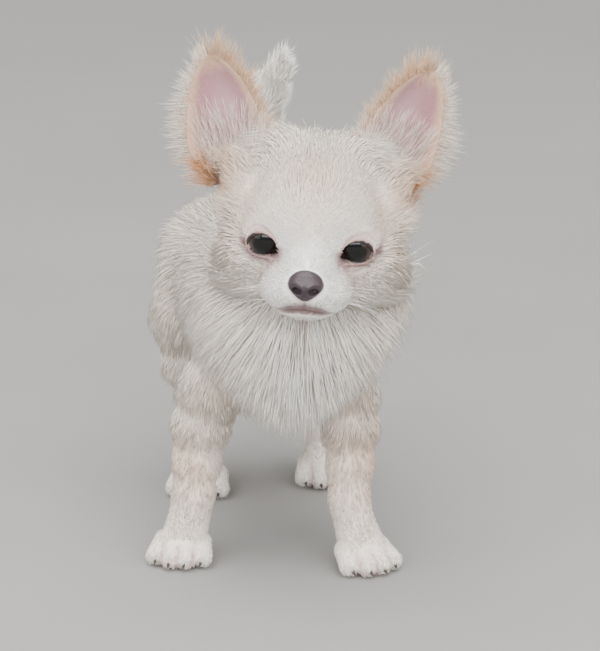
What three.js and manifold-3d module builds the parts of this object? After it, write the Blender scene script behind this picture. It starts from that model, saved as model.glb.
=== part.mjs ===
// A long-haired chihuahua puppy about three months old, standing, life size, in millimetres.
// The dog faces -Y, +X is the dog's own left side and +Z is up. Its paws stand on z = 0.
// Flesh is a blend of round volumes. Its surface is read at three depths of the coat:
// the skin, the core of the coat that the solids keep, and the tips that the locks reach.
import * as THREE from 'three';
import { mergeVertices } from 'three/addons/utils/BufferGeometryUtils.js';
import Module from 'manifold-3d';

const wasm = await Module();
wasm.setup();

// Driving dimensions
const GAP = 0.3;
const CORE_SHARE = 0.42;
const DEG = Math.PI / 180;

const HEAD = { centre: [17, -14, 166], yaw: 4, pitch: 10, roll: 4 };
const EYE = {
  x: 18.2, y: -20.8, z: 1.2, radius: 9, openingWidth: 15, openingHeight: 10.4, turnOut: 13, lid: 1.3,
};
const NOSE = { y: -46.8, z: -7.2, width: 15, height: 13.4, depth: 11, nostril: 1.7, nostrilX: 3.4 };
const MOUTH = {
  cornerX: 16.5, cornerY: -35, cornerZ: -21.5, frontY: -50, frontZ: -19.6, groove: 0.9, deep: 2.4,
};
const EAR = { length: 50, width: 35, thick: 2.0, cup: 8 };
const CLAW = { length: 6.2, radius: 1.35, hook: 0.03, tilt: 0.2, rootZ: 4 };
const PAW = { padDrop: 0.9, wristZ: 20, coat: 1.2, toeStep: 6.9 };
const HOCK_Z = 52;
const NECK = { roundDepth: 18, roundIn: 0.4, roundFront: 12 };

const COLOUR = {
  coat: 0xece6dc, face: 0xeee9e1, ruff: 0xf1ede6, ear: 0xd9a98f, tail: 0xefe9df,
  paw: 0xeae5dd, eye: 0x14110f, nose: 0x6a5a62, claw: 0x3d3431,
};

const V = (x, y, z) => new THREE.Vector3(x, y, z);
const fromArray = (list) => V(list[0], list[1], list[2]);
const clamp = THREE.MathUtils.clamp;
const lerp = THREE.MathUtils.lerp;
const smooth = THREE.MathUtils.smoothstep;

// Seeded random numbers, so that every build is the same
function randomFrom(seed) {
  let state = seed >>> 0;
  return () => {
    state = (state + 0x6d2b79f5) >>> 0;
    let t = state;
    t = Math.imul(t ^ (t >>> 15), t | 1);
    t ^= t + Math.imul(t ^ (t >>> 7), t | 61);
    return ((t ^ (t >>> 14)) >>> 0) / 4294967296;
  };
}

// The head has a frame of its own: x to the dog's left, y to the back, z up
function headFrame() {
  const yaw = HEAD.yaw * DEG;
  const pitch = HEAD.pitch * DEG;
  const roll = HEAD.roll * DEG;
  const forward = V(-Math.sin(yaw) * Math.cos(pitch), -Math.cos(yaw) * Math.cos(pitch), -Math.sin(pitch));
  const side = V(Math.cos(yaw), -Math.sin(yaw), 0);
  const up = new THREE.Vector3().crossVectors(forward, side);
  const rolledSide = side.clone().multiplyScalar(Math.cos(roll)).addScaledVector(up, -Math.sin(roll));
  const rolledUp = up.clone().multiplyScalar(Math.cos(roll)).addScaledVector(side, Math.sin(roll));
  const frame = new THREE.Matrix4().makeBasis(rolledSide, forward.clone().negate(), rolledUp);
  return frame.setPosition(fromArray(HEAD.centre));
}
const headMatrix = headFrame();
const onHead = (x, y, z) => V(x, y, z).applyMatrix4(headMatrix);
const alongHead = (x, y, z) => V(x, y, z).transformDirection(headMatrix);

// Round volumes. Each has a place, its radii at the skin, and the depth of its coat.
function ball(at, radii, coat, turn) {
  const inverse = turn ? turn.clone().invert() : new THREE.Quaternion();
  return {
    distance(p, share) {
      const q = p.clone().sub(at).applyQuaternion(inverse);
      const grow = coat * share;
      const rx = radii[0] + grow;
      const ry = radii[1] + grow;
      const rz = radii[2] + grow;
      const near = Math.hypot(q.x / rx, q.y / ry, q.z / rz);
      const slope = Math.hypot(q.x / (rx * rx), q.y / (ry * ry), q.z / (rz * rz));
      return slope < 1e-9 ? -Math.min(rx, ry, rz) : (near * (near - 1)) / slope;
    },
  };
}
function bone(from, to, radiusFrom, radiusTo, coat) {
  const along = to.clone().sub(from);
  const span = along.lengthSq();
  return {
    distance(p, share) {
      const t = clamp(p.clone().sub(from).dot(along) / span, 0, 1);
      const foot = from.clone().addScaledVector(along, t);
      return p.distanceTo(foot) - lerp(radiusFrom, radiusTo, t) - coat * share;
    },
  };
}
function blend(volumes, softness) {
  return (p, share) => {
    let d = volumes[0].distance(p, share);
    for (const volume of volumes.slice(1)) {
      const e = volume.distance(p, share);
      const h = Math.max(softness - Math.abs(d - e), 0) / softness;
      d = Math.min(d, e) - (h * h * softness) / 4;
    }
    return d;
  };
}
function outward(field, p, share) {
  const step = 0.4;
  const slope = (axis) => {
    const a = p.clone().addScaledVector(axis, step);
    const b = p.clone().addScaledVector(axis, -step);
    return field(a, share) - field(b, share);
  };
  return V(slope(V(1, 0, 0)), slope(V(0, 1, 0)), slope(V(0, 0, 1))).normalize();
}
// The outermost point of a field on a ray, found from outside inwards
function reach(field, from, direction, share, far) {
  let r = far;
  for (let i = 0; i < 60 && r > 0; i += 1) {
    const d = field(from.clone().addScaledVector(direction, r), share);
    if (d < 0.02) {
      break;
    }
    r -= d * 0.9;
  }
  return Math.max(r, 0.5);
}

// Solids
function toSolid(geometry) {
  const bare = geometry.clone();
  bare.deleteAttribute('normal');
  bare.deleteAttribute('uv');
  const merged = mergeVertices(bare, 1e-4);
  const mesh = new wasm.Mesh({
    numProp: 3,
    vertProperties: new Float32Array(merged.attributes.position.array),
    triVerts: new Uint32Array(merged.index.array),
  });
  const solid = new wasm.Manifold(mesh);
  if (solid.volume() > 0) {
    return solid;
  }
  for (let i = 0; i < mesh.triVerts.length; i += 3) {
    const first = mesh.triVerts[i];
    mesh.triVerts[i] = mesh.triVerts[i + 1];
    mesh.triVerts[i + 1] = first;
  }
  return new wasm.Manifold(mesh);
}
function largestPiece(solid) {
  const pieces = solid.decompose();
  return pieces.reduce((best, piece) => (Math.abs(piece.volume()) > Math.abs(best.volume()) ? piece : best));
}
function toGeometry(solid) {
  const mesh = solid.getMesh();
  const geometry = new THREE.BufferGeometry();
  geometry.setAttribute('position', new THREE.BufferAttribute(new Float32Array(mesh.vertProperties), 3));
  geometry.setIndex(new THREE.BufferAttribute(new Uint32Array(mesh.triVerts), 1));
  geometry.computeVertexNormals();
  return geometry;
}
function moveVertices(geometry, place) {
  const position = geometry.attributes.position;
  for (let i = 0; i < position.count; i += 1) {
    const p = place(V(position.getX(i), position.getY(i), position.getZ(i)), i);
    position.setXYZ(i, p.x, p.y, p.z);
  }
  return geometry;
}
// A half space is a large box with one face at a point, reaching back along a direction
function halfSpace(at, direction) {
  const size = 600;
  const box = new THREE.BoxGeometry(size, size, size);
  box.translate(0, 0, size / 2);
  const turn = new THREE.Quaternion().setFromUnitVectors(V(0, 0, 1), direction.clone().normalize());
  box.applyQuaternion(turn);
  box.translate(at.x, at.y, at.z);
  return toSolid(box);
}
function joint(at, direction) {
  const normal = direction.clone().normalize();
  return {
    at,
    normal,
    side: (p) => p.clone().sub(at).dot(normal),
    keepBehind: (solid) => solid.subtract(halfSpace(at.clone().addScaledVector(normal, -GAP / 2), normal)),
    keepAhead: (solid) => {
      const back = normal.clone().negate();
      return solid.subtract(halfSpace(at.clone().addScaledVector(back, -GAP / 2), back));
    },
  };
}
// A ball whose points are pushed out along rays from a spine to a blended surface
function pushedBall({ field, share, from, to, pole, around, rings, far, crowd = 1, grow = 0 }) {
  const turn = new THREE.Quaternion().setFromUnitVectors(V(0, 1, 0), pole.clone().normalize());
  const geometry = new THREE.SphereGeometry(1, around, rings);
  return moveVertices(geometry, (unit) => {
    const polar = Math.acos(clamp(unit.y, -1, 1));
    const crowded = Math.PI * (polar / Math.PI) ** crowd;
    const ringSize = Math.hypot(unit.x, unit.z);
    const flat = ringSize > 1e-6 ? V(unit.x / ringSize, 0, unit.z / ringSize) : V(1, 0, 0);
    const direction = flat.multiplyScalar(ringSize > 1e-6 ? Math.sin(crowded) : 0);
    direction.y = Math.cos(crowded);
    const lift = smooth(direction.y, -1, 1);
    const origin = from.clone().lerp(to, lift);
    direction.applyQuaternion(turn);
    const r = reach(field, origin, direction, share, far) + grow;
    return origin.addScaledVector(direction, r);
  });
}
// A round limb: rings along a curve, each with its own half width across and along the body
function limb({ points, sizes, around, steps, grow = 0, across = V(1, 0, 0) }) {
  const curve = new THREE.CatmullRomCurve3(points, false, 'centripetal');
  const wide = new THREE.CatmullRomCurve3(sizes.map(([w, d]) => V(w, d, 0)), false, 'centripetal');
  const geometry = new THREE.CylinderGeometry(1, 1, 1, around, steps);
  return moveVertices(geometry, (unit) => {
    const t = clamp(0.5 - unit.y, 0, 1);
    const centre = curve.getPoint(t);
    const tangent = curve.getTangent(t);
    const size = wide.getPoint(t);
    const side = across.clone().addScaledVector(tangent, -across.dot(tangent)).normalize();
    const front = new THREE.Vector3().crossVectors(tangent, side).normalize();
    const end = t < 1e-6 ? -1 : Number(t > 1 - 1e-6);
    return centre
      .addScaledVector(side, unit.x * (size.x + grow))
      .addScaledVector(front, unit.z * (size.y + grow))
      .addScaledVector(tangent, end * grow);
  });
}

// A lock of hair: a flat, tapered blade with a ridge, which leaves the coat's core at a low angle
function lock({ path, width, thick, normal, roll = 0 }) {
  const curve = new THREE.CatmullRomCurve3(path, false, 'centripetal');
  const geometry = new THREE.ConeGeometry(1, 1, 3, 3);
  return toSolid(moveVertices(geometry, (unit) => {
    const t = clamp(unit.y + 0.5, 0, 1);
    const centre = curve.getPoint(t);
    const tangent = curve.getTangent(t);
    const flat = new THREE.Vector3().crossVectors(tangent, normal).normalize().applyAxisAngle(tangent, roll);
    const up = new THREE.Vector3().crossVectors(flat, tangent).normalize();
    const ringSize = Math.max(1 - t, 1e-6);
    const bulge = lerp(0.72, 1, Math.sin(Math.PI * Math.min(t * 1.25, 1))) * (1 - t ** 2.6);
    return centre
      .addScaledVector(flat, (unit.x / ringSize) * width * 0.5 * bulge * Number(t < 0.999))
      .addScaledVector(up, (unit.z / ringSize) * thick * 0.5 * (1 - 0.55 * t) * Number(t < 0.999));
  }));
}
const GOLDEN = Math.PI * (3 - Math.sqrt(5));
// Rays spread evenly over a sphere
function raysAllRound(from, count) {
  return Array.from({ length: count }, (unused, i) => {
    const z = 1 - (2 * i + 1) / count;
    const ring = Math.sqrt(1 - z * z);
    return { origin: from, aim: V(ring * Math.cos(GOLDEN * i), ring * Math.sin(GOLDEN * i), z) };
  });
}
// Rays spread evenly round a spine, which lean over each end by the shares given
function raysAlong(from, to, count, leanFrom, leanTo) {
  const axis = to.clone().sub(from).normalize();
  const across = V(1, 0, 0).addScaledVector(axis, -axis.x).normalize();
  const upright = new THREE.Vector3().crossVectors(across, axis);
  return Array.from({ length: count }, (unused, i) => {
    const t = (i + 0.5) / count;
    const lean = leanTo * smooth(t, 0.7, 1) - leanFrom * (1 - smooth(t, 0, 0.3));
    const aim = across.clone().multiplyScalar(Math.cos(GOLDEN * i))
      .addScaledVector(upright, Math.sin(GOLDEN * i))
      .addScaledVector(axis, lean);
    return { origin: from.clone().lerp(to, t), aim: aim.normalize() };
  });
}
// Locks rooted where rays leave a blended surface. The lie gives the way that the hair runs at a point,
// and the style gives its length, width and rise, or nothing where no lock grows.
function lockSet({ field, rays, far, lie, style, seed, clear = [] }) {
  const random = randomFrom(seed);
  const locks = [];
  for (const { origin, aim } of rays) {
    const r = reach(field, origin, aim, CORE_SHARE, far);
    const root = origin.clone().addScaledVector(aim, r);
    const normal = outward(field, root, CORE_SHARE);
    const look = style(root, normal, random);
    if (!look) {
      continue;
    }
    const flow = lie(root, normal);
    flow.addScaledVector(normal, -flow.dot(normal)).normalize();
    const sideways = new THREE.Vector3().crossVectors(normal, flow);
    flow.addScaledVector(sideways, (random() - 0.5) * 0.6).normalize();
    const length = look.length * lerp(0.8, 1.2, random());
    const rise = look.rise * lerp(0.75, 1.2, random());
    const stations = [[-0.12, -look.sunk], [0.3, rise * 0.5], [0.66, rise * 0.9], [1, rise]];
    const path = stations.map(([t, h]) => {
      const p = root.clone().addScaledVector(flow, t * length).addScaledVector(normal, h);
      p.z -= look.sag * t * t;
      return p;
    });
    for (const keep of clear) {
      path.slice(1).forEach((p) => keep(p));
    }
    locks.push(lock({ path, width: look.width, thick: look.thick, normal, roll: (random() - 0.5) * 0.5 }));
  }
  return locks;
}
// Pushes a point of a lock back until it stands clear of a field or a joint
const clearOf = (field, share, margin) => (p) => {
  for (let i = 0; i < 4; i += 1) {
    const d = field(p, share);
    if (d >= margin) {
      return;
    }
    p.addScaledVector(outward(field, p, share), margin - d);
  }
};
const behind = (cut, margin) => (p) => {
  const over = cut.side(p) + margin;
  if (over > 0) {
    p.addScaledVector(cut.normal, -over);
  }
};
const ahead = (cut, margin) => (p) => {
  const under = margin - cut.side(p);
  if (under > 0) {
    p.addScaledVector(cut.normal, under);
  }
};
function fuse(base, locks) {
  return largestPiece(locks.reduce((solid, piece) => solid.add(piece), base));
}

// Flesh of the body, from the chest to the rump
const chestVolumes = [
  ball(V(8, 2, 102), [33, 26, 27], 18),
  ball(V(3, 42, 101), [33, 38, 35], 19),
  ball(V(-6, 80, 106), [30, 34, 30], 17),
  ball(V(-14, 110, 110), [30, 29, 29], 17),
];
const neckVolumes = [
  ball(V(11, 3, 120), [31, 26, 27], 23),
  bone(V(17, -4, 156), V(7, 24, 126), 17, 23, 15),
];
const body = blend([...chestVolumes, ...neckVolumes], 16);

// Flesh of the head
const headVolumes = [
  ball(onHead(0, 0, 2), [30, 33, 30.5], 7),
  ball(onHead(0, -16, 9), [24, 15, 19], 5),
  ball(onHead(0, -30, -6.6), [11, 18, 8.8], 1.2),
  ball(onHead(-9.5, -36, -14.5), [10, 11.5, 8.6], 1.6),
  ball(onHead(9.5, -36, -14.5), [10, 11.5, 8.6], 1.6),
  ball(onHead(0, -34, -20), [10.5, 12.5, 7], 1.6),
  ball(onHead(-19, -6, -15), [15, 19, 15], 9),
  ball(onHead(19, -6, -15), [15, 19, 15], 9),
  ball(onHead(0, 6, -14), [22, 20, 18], 7),
  ball(onHead(-31, 4, 10), [8, 8, 11], 6),
  ball(onHead(31, 4, 10), [8, 8, 11], 6),
];
const eyeCentres = [onHead(-EYE.x, EYE.y, EYE.z), onHead(EYE.x, EYE.y, EYE.z)];
const lidRadius = EYE.radius + EYE.lid;
const lidVolumes = eyeCentres.map((at) => ball(at, [lidRadius, lidRadius, lidRadius], 0));
const headFlesh = blend(headVolumes, 9);
const headField = blend([{ distance: headFlesh }, ...lidVolumes], 3);

// Where one part ends and the next begins
const throat = joint(onHead(0, 10, -26), alongHead(0, -0.35, 0.94));
const shoulder = joint(V(8, 8, 104), V(0, -0.9, 0.43));
const tailRoot = joint(V(-14, 131, 141), V(0, 0.3, 0.95));

// The ear: a leaf, folded into a cup, with its rim a little thinner than its root
function earFrame(base, tip, open) {
  const along = tip.clone().sub(base).normalize();
  const facing = open.clone().addScaledVector(along, -open.dot(along)).normalize();
  const across = new THREE.Vector3().crossVectors(along, facing);
  return { base, along, facing, across };
}
const ears = {
  ear_right: earFrame(V(-18.5, -3, 186), V(-26.5, 1, 232), V(-0.2, -1, 0.1)),
  ear_left: earFrame(V(48, -3, 182), V(68, 1, 229), V(0.32, -1, 0.1)),
};
const earHalfWidth = (t) => {
  const up = Math.max(t, 0);
  const root = lerp(0.6, 1, smooth(t, -0.14, 0.26));
  return EAR.width * 0.5 * root * Math.max(1 - up ** 1.9, 0) ** 0.72;
};
function earPoint(ear, across, t, depth) {
  const length = ear.along.clone().multiplyScalar(EAR.length * t);
  const half = earHalfWidth(t);
  const cup = EAR.cup * (1 - 0.72 * t) * (1 - across * across) + 1.2 * Math.sin(Math.PI * t);
  return ear.base.clone().add(length)
    .addScaledVector(ear.across, across * half)
    .addScaledVector(ear.facing, depth - cup);
}
function earShell(ear, grow) {
  const geometry = new THREE.BoxGeometry(2, 1, 1, 6, 7, 1);
  return toSolid(moveVertices(geometry, (unit) => {
    const t = lerp(-0.14 - grow / EAR.length, 0.985 + grow / EAR.length, unit.y + 0.5);
    const rim = 1 - 0.45 * unit.x * unit.x;
    const depth = Math.sign(unit.z) * (EAR.thick * 0.5 * rim * (1 - 0.35 * Math.max(t, 0)) + grow);
    const side = unit.x * (1 + grow / (EAR.width * 0.5));
    return earPoint(ear, side, Math.min(t, 0.995), depth);
  }));
}

// Sub-parts
function makeEyeball(at, grow) {
  const geometry = new THREE.SphereGeometry(EYE.radius + grow, 12, 8);
  geometry.translate(at.x, at.y, at.z);
  return toSolid(geometry);
}
// The almond opening between the lids, cut outwards from the middle of the eye
function lidOpening(side, at) {
  const half = EYE.openingWidth / 2;
  const high = EYE.openingHeight / 2;
  const outline = new THREE.Shape();
  outline.moveTo(-half, -0.6);
  outline.bezierCurveTo(-half * 0.55, high * 1.36, half * 0.5, high * 1.36, half, 0.2);
  outline.bezierCurveTo(half * 0.5, -high * 1.34, -half * 0.5, -high * 1.34, -half, -0.6);
  const geometry = new THREE.ExtrudeGeometry(outline, { depth: 16, bevelEnabled: false, curveSegments: 8 });
  geometry.rotateX(Math.PI / 2);
  geometry.rotateZ(side * EYE.turnOut * DEG);
  const turn = headMatrix.clone().setPosition(at);
  geometry.applyMatrix4(turn);
  return toSolid(geometry);
}
function makeNose(grow) {
  const r = [NOSE.width / 2, NOSE.depth / 2, NOSE.height / 2];
  const pad = blend([
    ball(V(0, 0, 1.2), [r[0], r[1], r[2] * 0.78], 0),
    ball(V(0, 0.4, -3), [r[0] * 0.62, r[1] * 0.9, r[2] * 0.6], 0),
  ], 3);
  const geometry = pushedBall({
    field: pad,
    share: 0,
    from: V(0, 0, 0),
    to: V(0, 0, 0),
    pole: V(0, -1, 0),
    around: 14,
    rings: 10,
    far: 14,
    grow,
  });
  geometry.translate(0, NOSE.y, NOSE.z);
  geometry.applyMatrix4(headMatrix);
  return toSolid(geometry);
}
function nostril(side) {
  const geometry = new THREE.SphereGeometry(NOSE.nostril, 8, 6);
  geometry.scale(0.95, 2.1, 1.05);
  geometry.rotateZ(side * -0.5);
  geometry.translate(side * NOSE.nostrilX, NOSE.y - NOSE.depth * 0.44, NOSE.z - 0.6);
  geometry.applyMatrix4(headMatrix);
  return toSolid(geometry);
}
// The line of the mouth: a thin groove swept round the muzzle under the whisker pads
function mouthGroove() {
  const route = [-1, -0.8, -0.45, 0, 0.45, 0.8, 1].map((s) => {
    const turn = s * Math.PI * 0.5;
    const x = MOUTH.cornerX * Math.sin(turn);
    const y = lerp(MOUTH.cornerY, MOUTH.frontY, Math.cos(turn));
    const z = lerp(MOUTH.cornerZ, MOUTH.frontZ, Math.cos(turn)) - 1.4 * Math.sin(turn * 2) ** 2;
    const origin = onHead(0, -20, -17);
    const aim = onHead(x, y, z).sub(origin).normalize();
    const r = reach(headField, origin, aim, CORE_SHARE, 60);
    return origin.addScaledVector(aim, r);
  });
  const path = new THREE.CatmullRomCurve3(route);
  const geometry = new THREE.BoxGeometry(MOUTH.deep * 2, 1, MOUTH.groove, 1, 12, 1);
  return toSolid(moveVertices(geometry, (unit) => {
    const t = clamp(unit.y + 0.5, 0, 1);
    const p = path.getPoint(t);
    const up = alongHead(0, 0, 1);
    const inward = outward(headField, p, CORE_SHARE);
    inward.addScaledVector(up, -inward.dot(up)).normalize();
    return p.addScaledVector(inward, unit.x).addScaledVector(up, unit.z);
  }));
}

// Ways that the coat runs
const headInverse = headMatrix.clone().invert();
const headLie = (p) => {
  const q = p.clone().applyMatrix4(headInverse);
  const sideways = Math.sign(q.x) * smooth(Math.abs(q.x), 6, 24);
  return alongHead(sideways * 1.1, 0.7, q.z > 12 ? 0.5 : -0.55);
};
const ruffLie = (p) => {
  const sideways = clamp((p.x - 12) / 34, -1, 1);
  const low = smooth(120 - p.z, 0, 45);
  return V(sideways * lerp(0.75, -0.35, low), lerp(0.35, 0.1, low), -1);
};
const bodyLie = (p) => {
  const top = smooth(p.z, 110, 145);
  return V(-0.14, lerp(0.75, 1, top), lerp(-0.95, -0.2, top));
};

// Legs. Each is a row of stations from the body down to the wrist or the heel.
const legs = {
  foreleg_right: {
    points: [
      V(-21, 18, 98), V(-27, 18, 80), V(-32, 18, 63),
      V(-34.5, 18, 46), V(-36, 17, 31), V(-38.5, 16.5, 16),
    ],
    sizes: [[12, 14], [14, 14.5], [13.6, 13.2], [11.6, 11.2], [9.6, 9.6], [11, 10.6]],
    paw: { at: V(-41, 16.5, 0), turn: -9 },
    feather: { from: 0.42, to: 0.78, count: 7, length: 13 },
  },
  foreleg_left: {
    points: [
      V(26, 16, 98), V(31, 15.5, 80), V(33, 14.5, 63),
      V(33, 13, 46), V(32.6, 10.5, 31), V(35.5, 9, 16),
    ],
    sizes: [[12, 14], [13.5, 14.5], [12.8, 13], [11, 11], [9.2, 9.4], [10.6, 10.4]],
    paw: { at: V(38.5, 7.5, 0), turn: 24 },
    feather: { from: 0.42, to: 0.78, count: 7, length: 13 },
  },
  hindleg_right: {
    points: [
      V(-34, 107, 112), V(-37, 99, 88), V(-38, 98, 66),
      V(-36.5, 113, 45), V(-35.5, 118, 33), V(-35, 112, 16),
    ],
    sizes: [[13, 22], [15, 23], [12.5, 16], [9.4, 10.5], [8.8, 9.4], [10, 9.8]],
    paw: { at: V(-35, 105, 0), turn: -8 },
    feather: { from: 0.28, to: 0.72, count: 9, length: 17 },
  },
  hindleg_left: {
    points: [
      V(5, 117, 112), V(12, 112, 88), V(18, 112, 66),
      V(21, 128, 45), V(22, 133, 33), V(22, 127, 16),
    ],
    sizes: [[13, 22], [15, 23], [12.5, 16], [9.4, 10.5], [8.8, 9.4], [10, 9.8]],
    paw: { at: V(22.5, 120, 0), turn: 6 },
    feather: { from: 0.28, to: 0.72, count: 9, length: 17 },
  },
};
const wrist = joint(V(0, 0, PAW.wristZ), V(0, 0, 1));
const hock = joint(V(0, 0, HOCK_Z), V(0, 0, 1));
const floor = halfSpace(V(0, 0, 0), V(0, 0, -1));

// Locks down the back of a limb or all round it, rooted in its core
function limbLocks({
  points, sizes, share, from, to, count, length, rise, width, thick, angles, seed, lie, keep = [],
}) {
  const random = randomFrom(seed);
  const curve = new THREE.CatmullRomCurve3(points, false, 'centripetal');
  const wide = new THREE.CatmullRomCurve3(sizes.map(([w, d]) => V(w, d, 0)), false, 'centripetal');
  return Array.from({ length: count }, (unused, i) => {
    const t = lerp(from, to, (i + 0.5) / count);
    const angle = lerp(angles[0], angles[1], (i * 0.618 + random() * 0.1) % 1);
    const centre = curve.getPoint(t);
    const tangent = curve.getTangent(t);
    const size = wide.getPoint(t).multiplyScalar(share);
    const side = V(1, 0, 0).addScaledVector(tangent, -tangent.x).normalize();
    const back = new THREE.Vector3().crossVectors(side, tangent).normalize();
    const normal = side.clone().multiplyScalar(Math.sin(angle)).addScaledVector(back, Math.cos(angle));
    const root = centre.clone()
      .addScaledVector(side, Math.sin(angle) * size.x)
      .addScaledVector(back, Math.cos(angle) * size.y);
    const flow = lie(tangent, normal, t).normalize();
    const long = length * lerp(0.8, 1.2, random());
    const path = [[-0.12, -2.4], [0.32, rise * 0.5], [0.68, rise * 0.85], [1, rise]].map(([k, h]) => (
      root.clone().addScaledVector(flow, k * long).addScaledVector(normal, h)));
    keep.forEach((clear) => path.slice(1).forEach((p) => clear(p)));
    return lock({ path, width, thick, normal, roll: (random() - 0.5) * 0.6 });
  });
}

const inPaw = (paw, p) => p.clone().sub(paw.at).applyAxisAngle(V(0, 0, 1), -paw.turn * DEG);
function makeLegCore(leg, grow) {
  return toSolid(limb({ ...leg, around: 12, steps: 9, grow }));
}
function makePaw({ points, sizes, paw }, claws) {
  const heel = points.at(-1);
  const shank = heel.clone().lerp(points.at(-2), 0.8);
  const girth = lerp(sizes.at(-1)[0], sizes.at(-2)[0], 0.3) - PAW.coat;
  const toes = [-1.5, -0.5, 0.5, 1.5].map((step) => {
    const inner = Math.abs(step) < 1;
    return ball(V(step * PAW.toeStep, inner ? -10.4 : -6.6, 5.6), [5.1, inner ? 6.8 : 6.4, 5.8], 1);
  });
  const palm = [
    ball(V(0, 2, 7.5), [12, 10, 7.6], 1.4),
    ball(V(0, 6.5, 4.6), [8.6, 7, 5.6], 1.2),
    bone(inPaw(paw, heel), inPaw(paw, shank), girth, girth, PAW.coat),
  ];
  const field = blend([...palm, ...toes], 3.2);
  const geometry = pushedBall({
    field,
    share: 1,
    from: V(0, -3, 5.5),
    to: inPaw(paw, shank),
    pole: V(0, 0, 1),
    around: 20,
    rings: 10,
    far: 40,
  });
  geometry.translate(0, 0, -PAW.padDrop);
  geometry.rotateZ(paw.turn * DEG);
  geometry.translate(paw.at.x, paw.at.y, 0);
  const whole = wrist.keepBehind(toSolid(geometry)).subtract(floor);
  return largestPiece(claws.reduce((solid, claw) => solid.subtract(claw), whole));
}
function makeClaw(paw, step, grow) {
  const inner = Math.abs(step) < 1;
  const tipY = inner ? -17.6 : -13.4;
  const geometry = new THREE.ConeGeometry(CLAW.radius + grow, CLAW.length + grow * 4, 6, 2);
  geometry.scale(0.8, 1, 1);
  geometry.translate(0, (CLAW.length + grow * 4) / 2 - grow * 2, 0);
  moveVertices(geometry, (p) => V(p.x, p.y, p.z - CLAW.hook * p.y * p.y));
  geometry.rotateZ(Math.PI);
  geometry.rotateX(CLAW.tilt);
  geometry.rotateZ(step * 0.1);
  geometry.translate(step * (PAW.toeStep + 0.2), tipY + 3.2, CLAW.rootZ);
  geometry.rotateZ(paw.turn * DEG);
  geometry.translate(paw.at.x, paw.at.y, 0);
  return toSolid(geometry).subtract(halfSpace(V(0, 0, 0.5), V(0, 0, -1)));
}

const tail = {
  points: [
    V(-14, 126, 128), V(-13.5, 132, 146), V(-10.5, 130, 166),
    V(-5, 120, 184), V(1, 107, 199), V(3.5, 99, 208),
  ],
  sizes: [[10, 10], [8.5, 8.5], [8, 8], [7, 7], [5, 5], [2, 2]],
};

const materials = {};
for (const [name, colour] of Object.entries(COLOUR)) {
  const gloss = name === 'eye' ? 0.08 : 0.85;
  materials[name] = new THREE.MeshStandardMaterial({
    color: colour, roughness: name === 'nose' ? 0.45 : gloss, metalness: 0,
  });
}
const dog = new THREE.Group();
function show(name, solid, colour) {
  const mesh = new THREE.Mesh(toGeometry(solid), materials[colour].clone());
  mesh.name = name;
  dog.add(mesh);
  return solid;
}

// Locks of each part
const clearOfLegs = Object.values(legs).flatMap((leg) => leg.points.slice(0, -1).map((at, i) => ({
  at, next: leg.points[i + 1], radius: leg.sizes[i][0],
}))).map(({ at, next, radius }) => blend([bone(at, next, radius, radius, 0)], 1));

function sideCoat() {
  return lockSet({
    field: body,
    rays: raysAlong(V(6, 26, 102), V(-14, 112, 112), 82, 0, 1.6),
    far: 110,
    seed: 11,
    lie: bodyLie,
    clear: [behind(shoulder, 2.4), behind(tailRoot, 2.4), ...clearOfLegs.map((leg) => clearOf(leg, 0, 2.6))],
    style: (root, normal, random) => {
      const atJoint = shoulder.side(root) > -3 || tailRoot.side(root) > -3;
      if (atJoint || clearOfLegs.some((leg) => leg(root, 0) < 1.5)) {
        return null;
      }
      const belly = smooth(-normal.z, 0.4, 0.9);
      return {
        length: lerp(27, 19, belly),
        rise: lerp(8.8, 6, belly),
        width: lerp(11, 15, random()),
        thick: 2.2,
        sunk: 4,
        sag: 1.5,
      };
    },
  });
}
function ruffCoat() {
  return lockSet({
    field: body,
    rays: raysAlong(V(9, -3, 86), V(13, -3, 146), 92, 1, 0),
    far: 110,
    seed: 23,
    lie: ruffLie,
    clear: [ahead(shoulder, 2.2), behind(throat, 2.2), ...clearOfLegs.map((leg) => clearOf(leg, 0, 2.6))],
    style: (root, normal, random) => {
      if (shoulder.side(root) < 3 || throat.side(root) > -1.5) {
        return null;
      }
      const low = smooth(96 - root.z, 0, 18);
      return {
        length: lerp(26, 32, random()) * lerp(1, 0.62, low),
        rise: lerp(10.5, 6, low),
        width: lerp(10.5, 13.5, random()),
        thick: 2.3,
        sunk: 4.5,
        sag: 2,
      };
    },
  });
}
function faceCoat() {
  return lockSet({
    field: headField,
    rays: raysAllRound(onHead(0, 2, -2), 100),
    far: 90,
    seed: 37,
    lie: headLie,
    clear: [ahead(throat, 2)],
    style: (root, normal, random) => {
      const q = root.clone().applyMatrix4(headInverse);
      const cheek = Math.abs(q.x) > 24 && q.z < 6 && q.y > -22 && q.y < 18;
      const nape = q.y > 16 && q.z < 28;
      if ((!cheek && !nape) || throat.side(root) < 2) {
        return null;
      }
      return {
        length: cheek ? 15 : 18,
        rise: cheek ? 5.4 : 5.8,
        width: lerp(8, 10.5, random()),
        thick: 1.8,
        sunk: 3,
        sag: 1,
      };
    },
  });
}
function plume() {
  return limbLocks({
    ...tail,
    share: 0.86,
    from: 0.2,
    to: 0.97,
    count: 18,
    length: 20,
    rise: 5.5,
    width: 8.5,
    thick: 1.7,
    angles: [-Math.PI, Math.PI],
    seed: 53,
    lie: (tangent, normal) => tangent.clone().multiplyScalar(1).addScaledVector(normal, 0.18),
    keep: [ahead(tailRoot, 1.6)],
  });
}
function legFeather(leg) {
  const { from, to, count, length } = leg.feather;
  return limbLocks({
    ...leg,
    share: 0.88,
    from,
    to,
    count,
    length,
    rise: 4,
    width: 5.5,
    thick: 1.5,
    angles: [-0.9, 0.9],
    seed: 71,
    lie: (tangent, normal) => tangent.clone().addScaledVector(normal, 0.35),
    keep: [ahead(wrist, 1.8)],
  });
}
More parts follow.
